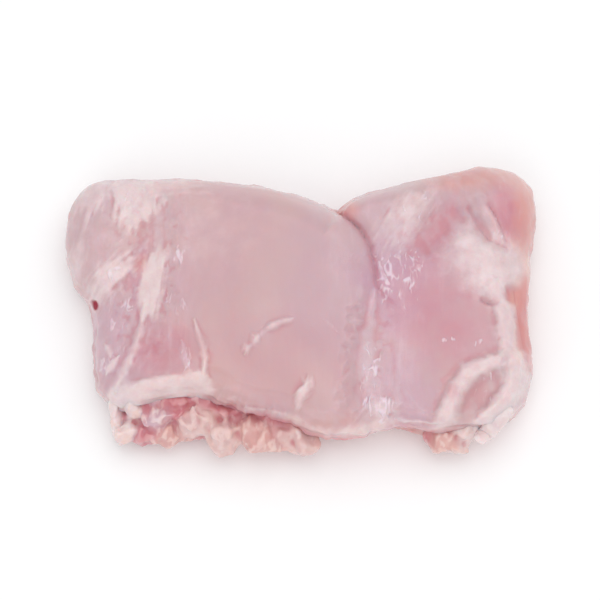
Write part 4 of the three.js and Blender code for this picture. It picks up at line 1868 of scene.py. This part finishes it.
class Graph:
    """A material's node tree."""

    def __init__(self, material: bpy.types.Material) -> None:
        """Empties a material's node tree.

        Args:
            material: The material.
        """
        material.use_nodes = True
        self.tree = material.node_tree
        self.tree.nodes.clear()

    def add(
        self, kind: str, settings: dict[str, Any], *places: Any, out: int | str = 0, **named: Any
    ) -> Shade:
        """Adds one node.

        Args:
            kind: The node's type.
            settings: Its properties, which are set first.
            places: Values or links of its input sockets, in order.
            out: The output to give back.
            named: Values or links of its input sockets by name, with underscores for spaces.

        Returns:
            The node's output.
        """
        node = self.tree.nodes.new(kind)
        for name, value in settings.items():
            setattr(node, name, value)
        wanted = {index: value for index, value in enumerate(places)}
        wanted.update({name.replace("_", " "): value for name, value in named.items()})
        for key, value in wanted.items():
            if isinstance(value, Shade):
                self.tree.links.new(value.socket, node.inputs[key])
            else:
                node.inputs[key].default_value = value
        return Shade(self, node.outputs[out])

    def finish(self, surface: Shade) -> None:
        """Gives the surface to the material."""
        self.tree.links.new(surface.socket, self.tree.nodes.new("ShaderNodeOutputMaterial").inputs["Surface"])

    def noise(
        self, where: Shade, scale: float, detail: float = 3, roughness: float = 0.55, distortion: float = 0
    ) -> Shade:
        """A noise texture.

        Args:
            where: Coordinates.
            scale: Waves in a metre.
            detail: Layers of finer waves.
            roughness: Strength of each layer as a share of the one before.
            distortion: How far the waves are pulled about.

        Returns:
            The noise, from 0 to 1.
        """
        values = {"Scale": scale, "Detail": detail, "Roughness": roughness, "Distortion": distortion}
        return self.add("ShaderNodeTexNoise", {}, Vector=where, **values)

    def stretched(self, where: Shade, scale: Size, turn: float) -> Shade:
        """Coordinates turned about Z by `turn` radians and then multiplied by `scale`."""
        return self.add("ShaderNodeMapping", {}, where, (0, 0, 0), (0, 0, turn), scale)

    def step(self, value: Shade, start: float, end: float) -> Shade:
        """A smooth step.

        Args:
            value: The value to look up.
            start: Value where the step is 0.
            end: Value where the step is 1.

        Returns:
            The step, from 0 to 1.
        """
        settings = {"interpolation_type": "SMOOTHSTEP"}
        return self.add("ShaderNodeMapRange", settings, value, start, end, 0.0, 1.0)

    def mix(self, share: Any, first: Any, second: Any) -> Shade:
        """A colour between two colours.

        Args:
            share: How much of the second colour there is.
            first: The first colour.
            second: The second colour.

        Returns:
            The mixed colour.
        """
        node = self.tree.nodes.new("ShaderNodeMix")
        node.data_type = "RGBA"
        for socket, value in ((node.inputs[0], share), (node.inputs[6], first), (node.inputs[7], second)):
            if isinstance(value, Shade):
                self.tree.links.new(value.socket, socket)
            elif isinstance(value, tuple):
                socket.default_value = (*value, 1)
            else:
                socket.default_value = value
        return Shade(self, node.outputs[2])


def srgb(red: int, green: int, blue: int) -> Colour:
    """A colour as the eye reads it on a screen, turned into the light that it sends back.

    Args:
        red: Red on the screen, from 0 to 255.
        green: Green on the screen.
        blue: Blue on the screen.

    Returns:
        The share of red, green and blue light.
    """
    shares = [value / 255 for value in (red, green, blue)]
    light = [s / 12.92 if s <= 0.04045 else ((s + 0.055) / 1.055) ** 2.4 for s in shares]
    return (light[0], light[1], light[2])


@dataclass(frozen=True)
class Palette:
    """The colours of a raw thigh's tissues."""

    pale: Colour = srgb(202, 171, 176)
    warm: Colour = srgb(205, 172, 168)
    cool: Colour = srgb(194, 158, 172)
    # Fat, whose colour also paints some highlights.
    fat: Colour = srgb(234, 218, 219)
    fat_pink: Colour = srgb(224, 200, 203)
    # Whitish membrane, which also paints highlights on wrinkle crests and edges.
    film: Colour = srgb(222, 197, 206)
    # Silvery white of the membrane, which also paints highlights.
    silver: Colour = srgb(238, 222, 231)
    rose: Colour = srgb(204, 141, 153)
    mauve: Colour = srgb(197, 153, 178)
    salmon: Colour = srgb(220, 158, 147)
    peach: Colour = srgb(232, 190, 172)
    # Deep red, which also paints the shade in creases, hollows and under the near edge.
    deep: Colour = srgb(203, 106, 117)
    blood: Colour = srgb(150, 0, 42)


@dataclass(frozen=True)
class WetFlesh:
    """The finish of raw meat and fat under a thin wet film.

    Attributes:
        name: The material's name.
        palette: Colours of the tissues.
        roughness: Roughness of the meat itself.
        wetness: Strength of the wet film.
        dry: How much of the wet film fat goes without.
        bump: Depth of the grain that is too fine for the mesh, in metres.
        scatter: How much of the light goes through the flesh.
        reach: How far each colour of light goes through it, in metres.
    """

    # Waves in a metre of each noise, along X, Y and Z where it is drawn out, and its turn in radians.
    CLOUD_WAVES = 34
    MOTTLE_WAVES = 260
    GRAIN_WAVES = 1500
    FIBRE_WAVES, FIBRE_TURN = (1100, 95, 500), 0.14
    THREAD_WAVES, THREAD_TURN = (420, 60, 300), -0.3
    DASH_WAVES, DASH_TURN = (560, 260, 420), -0.4
    FLESH_IOR = 1.38
    FORWARD = 0.3
    FILM_IOR = 1.4
    FILM_ROUGHNESS = 0.055

    name: str
    palette: Palette = Palette()
    roughness: float = 0.42
    wetness: float = 0.7
    dry: float = 0.4
    bump: float = 0.00022
    scatter: float = 0.5
    reach: Size = (0.0042, 0.0016, 0.0011)

    def material(self) -> bpy.types.Material:
        """Builds the material.

        Returns:
            The material.
        """
        material = bpy.data.materials.new(self.name)
        graph = Graph(material)
        where = graph.add("ShaderNodeTexCoord", {}, out="Object")
        cover = {
            tissue: graph.add("ShaderNodeAttribute", {"attribute_name": tissue.value}, out="Fac")
            for tissue in Tissue
        }
        fat, film = cover[Tissue.FAT], cover[Tissue.FILM]
        clouds = graph.noise(where, self.CLOUD_WAVES, 2)
        mottle = graph.noise(where, self.MOTTLE_WAVES, 4, 0.6)
        grain = graph.noise(where, self.GRAIN_WAVES, 3, 0.6)
        fibre = graph.noise(graph.stretched(where, self.FIBRE_WAVES, self.FIBRE_TURN), 1, 3)
        threads = graph.noise(graph.stretched(where, self.THREAD_WAVES, self.THREAD_TURN), 1, 4, 0.65)
        dashes = graph.noise(graph.stretched(where, self.DASH_WAVES, self.DASH_TURN), 1, 1, distortion=1.1)
        # Silvery dashes of the membrane, which also stand as painted highlights.
        shown = graph.step(dashes + 0.42 * cover[Tissue.SILVER], 0.72, 0.95)
        silver = shown * graph.step(cover[Tissue.SILVER], 0.05, 0.35)
        colour = self._colour(graph, cover, clouds, mottle, fibre, threads, silver)
        roughness = (self.roughness + 0.16 * (mottle - 0.5) + 0.06 * fat - 0.1 * film).held()
        dry = self.dry * graph.step(fat, 0.3, 0.9) + 0.8 * cover[Tissue.BLOOD]
        wet = (self.wetness * (0.55 + 0.9 * graph.step(clouds, 0.35, 0.65)) + 0.25 * film - dry).held()
        rough = (fat + film + 0.6 * cover[Tissue.MAUVE]).held()
        relief = (0.12 + 0.6 * rough) * grain + (0.15 + 0.1 * rough) * fibre + (0.15 + 0.4 * rough) * mottle
        relief += 0.8 * silver
        bump = {"Strength": 1.0, "Distance": self.bump, "Height": relief}
        normal = graph.add("ShaderNodeBump", {}, out="Normal", **bump)
        surface = graph.add(
            "ShaderNodeBsdfPrincipled",
            {"subsurface_method": "RANDOM_WALK"},
            Base_Color=colour, Roughness=roughness, IOR=self.FLESH_IOR, Normal=normal,
            Subsurface_Weight=self.scatter, Subsurface_Radius=self.reach, Subsurface_Scale=1.0,
            Subsurface_Anisotropy=self.FORWARD,
            Coat_Weight=wet, Coat_Roughness=self.FILM_ROUGHNESS, Coat_IOR=self.FILM_IOR,
        )
        graph.finish(surface)
        return material

    def _colour(
        self,
        graph: Graph,
        cover: dict[Tissue, Shade],
        clouds: Shade,
        mottle: Shade,
        fibre: Shade,
        threads: Shade,
        silver: Shade,
    ) -> Shade:
        """Mixes the tissues' colours.

        Args:
            graph: The material's nodes.
            cover: Share of each tissue.
            clouds: Slow noise.
            mottle: Noise of a few millimetres.
            fibre: Noise drawn out along the fibres.
            threads: Noise drawn out into white threads.
            silver: Share of silvery wrinkles, which are also painted highlights.

        Returns:
            The colour.
        """
        tone = self.palette
        streaks = graph.step(threads, 0.5, 0.74)
        veil = (cover[Tissue.FILM] * (0.35 + 0.5 * graph.step(mottle, 0.3, 0.7) + 0.6 * streaks)).held()
        fat = graph.mix(graph.step(mottle, 0.2, 0.8), tone.fat_pink, tone.fat)
        fat = graph.mix(cover[Tissue.SALMON] * 0.45, fat, tone.peach)
        fat_share = graph.step(cover[Tissue.FAT] + 0.25 * (mottle - 0.5), 0.0, 0.95)
        blood_share = graph.step(cover[Tissue.BLOOD] + 0.5 * (mottle - 0.5), 0.15, 0.75)
        # The fat, film and silvery layers also lay painted highlights, and the deep red layer lays painted
        # shade.
        layers = (
            (0.55, tone.pale),
            (cover[Tissue.MAUVE] * 0.85, tone.mauve),
            (cover[Tissue.ROSE] * 0.85, tone.rose),
            (cover[Tissue.SALMON] * 0.8, tone.salmon),
            (graph.step(fibre, 0.4, 0.8) * 0.04, tone.rose),
            (streaks * 0.05, tone.film),
            (veil * 0.75, tone.film),
            (fat_share * 0.95, fat),
            (cover[Tissue.DEEP] * 0.7, tone.deep),
            (silver * 0.7, tone.silver),
            (blood_share, tone.blood),
        )
        colour = graph.mix(graph.step(clouds, 0.3, 0.7), tone.cool, tone.warm)
        for share, layer in layers:
            colour = graph.mix(share, colour, layer)
        return colour


OUTER_FLESH = WetFlesh("outer_flesh")
UNDER_FLESH = WetFlesh("under_flesh", roughness=0.48, wetness=0.35, bump=0.0003)
LOOSE_FAT = WetFlesh(
    "loose_fat",
    Palette(fat=srgb(241, 227, 226), fat_pink=srgb(232, 210, 211)),
    roughness=0.38,
    wetness=0.95,
    dry=0,
    bump=0.00015,
    reach=(0.0014, 0.0009, 0.0007),
)


def square_light(name: str, side: float, watts: float, spot: Vector, turn: Euler) -> None:
    """Puts a flat square light in the scene.

    Args:
        name: Its name.
        side: Its side length in metres.
        watts: Its power.
        spot: Where it stands.
        turn: Its turn, after which it shines along its own -Z.
    """
    light = bpy.data.objects.new(name, bpy.data.lights.new(name, "AREA"))
    light.data.shape = "SQUARE"
    light.data.size = side
    light.data.energy = watts
    light.location = spot
    light.rotation_euler = turn
    bpy.context.scene.collection.objects.link(light)


@dataclass(frozen=True)
class Glint:
    """A small light, placed so that its reflection shows at one place of the top.

    Attributes:
        at: The place.
        side: Its side length in metres.
        watts: Its power.
    """

    DISTANCE = 0.7
    STEP = 1.5

    at: Place
    side: float
    watts: float

    def build(self, camera: Vector, sheet: OuterMuscle) -> None:
        """Makes the light.

        Args:
            camera: Where the camera is.
            sheet: The sheet that shows the reflection.
        """
        x, y = PLAN.spot(self.at)
        steps = self.STEP * np.array([[0, 0], [1, 0], [-1, 0], [0, 1], [0, -1]])
        top, right, left, far, near = sheet.height(x + steps[:, 0], y + steps[:, 1])
        normal = Vector((left - right, near - far, 2 * self.STEP)).normalized()
        spot = (Vector((x, y, top)) + Vector(Mesh.shift)) * MM
        view = (camera - spot).normalized()
        back = 2 * normal.dot(view) * normal - view
        length = Vector((1, 0, 0))
        length = (length - length.dot(back) * back).normalized()
        turn = Matrix((length, back.cross(length), back)).transposed().to_euler()
        square_light("glint", self.side, self.watts, spot + back * self.DISTANCE, turn)


@dataclass(frozen=True)
class Lamp:
    """A soft square light that faces the thigh.

    Attributes:
        name: Its name.
        offset: Where it stands from the thigh's middle, in metres.
        side: Its side length in metres.
        watts: Its power.
    """

    name: str
    offset: Size
    side: float
    watts: float

    def build(self, aim: Vector) -> None:
        """Makes the light.

        Args:
            aim: Point that it faces.
        """
        away = Vector(self.offset)
        turn = (-away).to_track_quat("-Z", "Y").to_euler()
        square_light(self.name, self.side, self.watts, aim + away, turn)


@dataclass(frozen=True)
class Studio:
    """The pale table, the soft lights and the camera.

    Attributes:
        elevation: How far the camera stands above the level, in degrees.
        lens: Focal length in millimetres.
        sensor: Width of the camera's film in millimetres.
        share: Share of the picture's width that the thigh takes.
        aim: Point that it looks at, as an offset in metres from the middle of the thigh's plan.
        daylight: Strength of the white light from all round.
        lamps: The soft lights.
        glint: The small light that the wet film glints with.
        table_half: Half the table's side in metres.
        table_tones: The table's two colours.
        table_roughness: The table's roughness.
    """

    elevation: float = 74
    lens: float = 100
    sensor: float = 36
    share: float = 0.8
    aim: Place = (0.0004, 0.00104)
    daylight: float = 0.75
    lamps: tuple[Lamp, ...] = (
        Lamp("key", offset=(0.25, 0.3, 0.9), side=1.1, watts=3.0),
        Lamp("fill", offset=(-0.3, -0.7, 0.6), side=0.8, watts=1.45),
    )
    glint: Glint = Glint(at=(0.0, -0.5), side=0.3, watts=0.2)
    table_half: float = 3
    table_tones: tuple[Colour, Colour] = ((0.97, 0.97, 0.975), (0.98, 0.98, 0.985))
    table_roughness: float = 0.6

    def build(self) -> None:
        """Makes the table, the lights and the camera."""
        low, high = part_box(NODE)
        middle = (low + high) / 2
        self._table()
        for lamp in self.lamps:
            lamp.build(middle)
        world = bpy.data.worlds.new("studio")
        bpy.context.scene.world = world
        world.use_nodes = True
        background = world.node_tree.nodes["Background"]
        background.inputs["Color"].default_value = (1, 1, 1, 1)
        background.inputs["Strength"].default_value = self.daylight
        aim = Vector((Mesh.shift[0] * MM + self.aim[0], Mesh.shift[1] * MM + self.aim[1], middle.z))
        log.info("plan lies %s mm off the CAD box's middle", np.round(Mesh.shift, 2))
        camera = self._camera(aim, high.x - low.x)
        self.glint.build(camera, OuterMuscle())
        bpy.context.scene.view_settings.view_transform = "Standard"

    def _camera(self, aim: Vector, length: float) -> Vector:
        """Makes the camera, which looks at the thigh from its near side.

        Args:
            aim: Point that it looks at.
            length: The thigh's length in metres.

        Returns:
            Where it stands.
        """
        camera = bpy.data.objects.new("camera", bpy.data.cameras.new("camera"))
        camera.data.lens = self.lens
        camera.data.sensor_width = self.sensor
        distance = length / self.share * self.lens / self.sensor
        rise_angle = math.radians(self.elevation)
        away = Vector((0, -math.cos(rise_angle), math.sin(rise_angle)))
        camera.location = aim + away * distance
        camera.rotation_euler = (-away).to_track_quat("-Z", "Y").to_euler()
        bpy.context.scene.collection.objects.link(camera)
        bpy.context.scene.camera = camera
        return camera.location

    def _table(self) -> None:
        """Makes the pale table."""
        shape = bmesh.new()
        bmesh.ops.create_grid(shape, x_segments=1, y_segments=1, size=self.table_half)
        mesh = Mesh.made(shape, "table")
        material = bpy.data.materials.new("pale_table")
        graph = Graph(material)
        where = graph.add("ShaderNodeTexCoord", {}, out="Object")
        colour = graph.mix(graph.noise(where, 3, 2) * 0.5, *self.table_tones)
        surface = graph.add("ShaderNodeBsdfPrincipled", {}, Base_Color=colour, Roughness=self.table_roughness)
        graph.finish(surface)
        mesh.materials.append(material)
        table = bpy.data.objects.new("table", mesh)
        bpy.context.scene.collection.objects.link(table)


@dataclass
class Thigh:
    """The whole thigh.

    Attributes:
        outer: The sheet of outer muscles.
        under: The slab of under muscles.
    """

    outer: OuterMuscle = field(default_factory=OuterMuscle)
    under: UnderMuscle = field(default_factory=UnderMuscle)

    def build(self) -> None:
        """Shapes every piece, lines the thigh up with its CAD box and dresses it."""
        sheet, slab = self.outer.build(), self.under.build()
        tags = [tag.build(self.outer) for tag in TAGS]
        torn = [edge.build(self.outer) for edge in TORN_EDGES]
        self._line_up([sheet, slab, *tags])
        outer, under, fat = OUTER_FLESH.material(), UNDER_FLESH.material(), LOOSE_FAT.material()
        Mesh.piece("outer_muscle", sheet, outer)
        Mesh.piece("under_muscle", slab, under)
        for name, meshes in (("fat_tag", tags), ("torn_edge", torn)):
            for number, mesh in enumerate(meshes, 1):
                Mesh.piece(f"{name}_{number}", mesh, fat)

    @staticmethod
    def _line_up(meshes: list[bpy.types.Mesh]) -> None:
        """Works out how far the forms move to lie in the CAD box.

        Args:
            meshes: The meshes that the CAD solid has too.
        """
        points = np.concatenate([Mesh.points(mesh) for mesh in meshes])
        low, high = points.min(axis=0), points.max(axis=0)
        box_low, box_high = (np.array(corner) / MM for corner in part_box(NODE))
        Mesh.shift = (box_low + box_high - low - high) / 2
        Mesh.shift[1] = box_high[1] - high[1]
        Mesh.shift[2] = box_low[2] - low[2]
        log.info("form %s mm, CAD %s mm", np.round(high - low, 2), np.round(box_high - box_low, 2))


def main() -> None:
    """Builds the scene and logs the sizes of the CAD model and of the dressed one."""
    logging.basicConfig(level=logging.INFO, format="%(name)s: %(message)s")
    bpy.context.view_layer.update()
    Thigh().build()
    Studio().build()


if __name__ == "__main__":
    main()
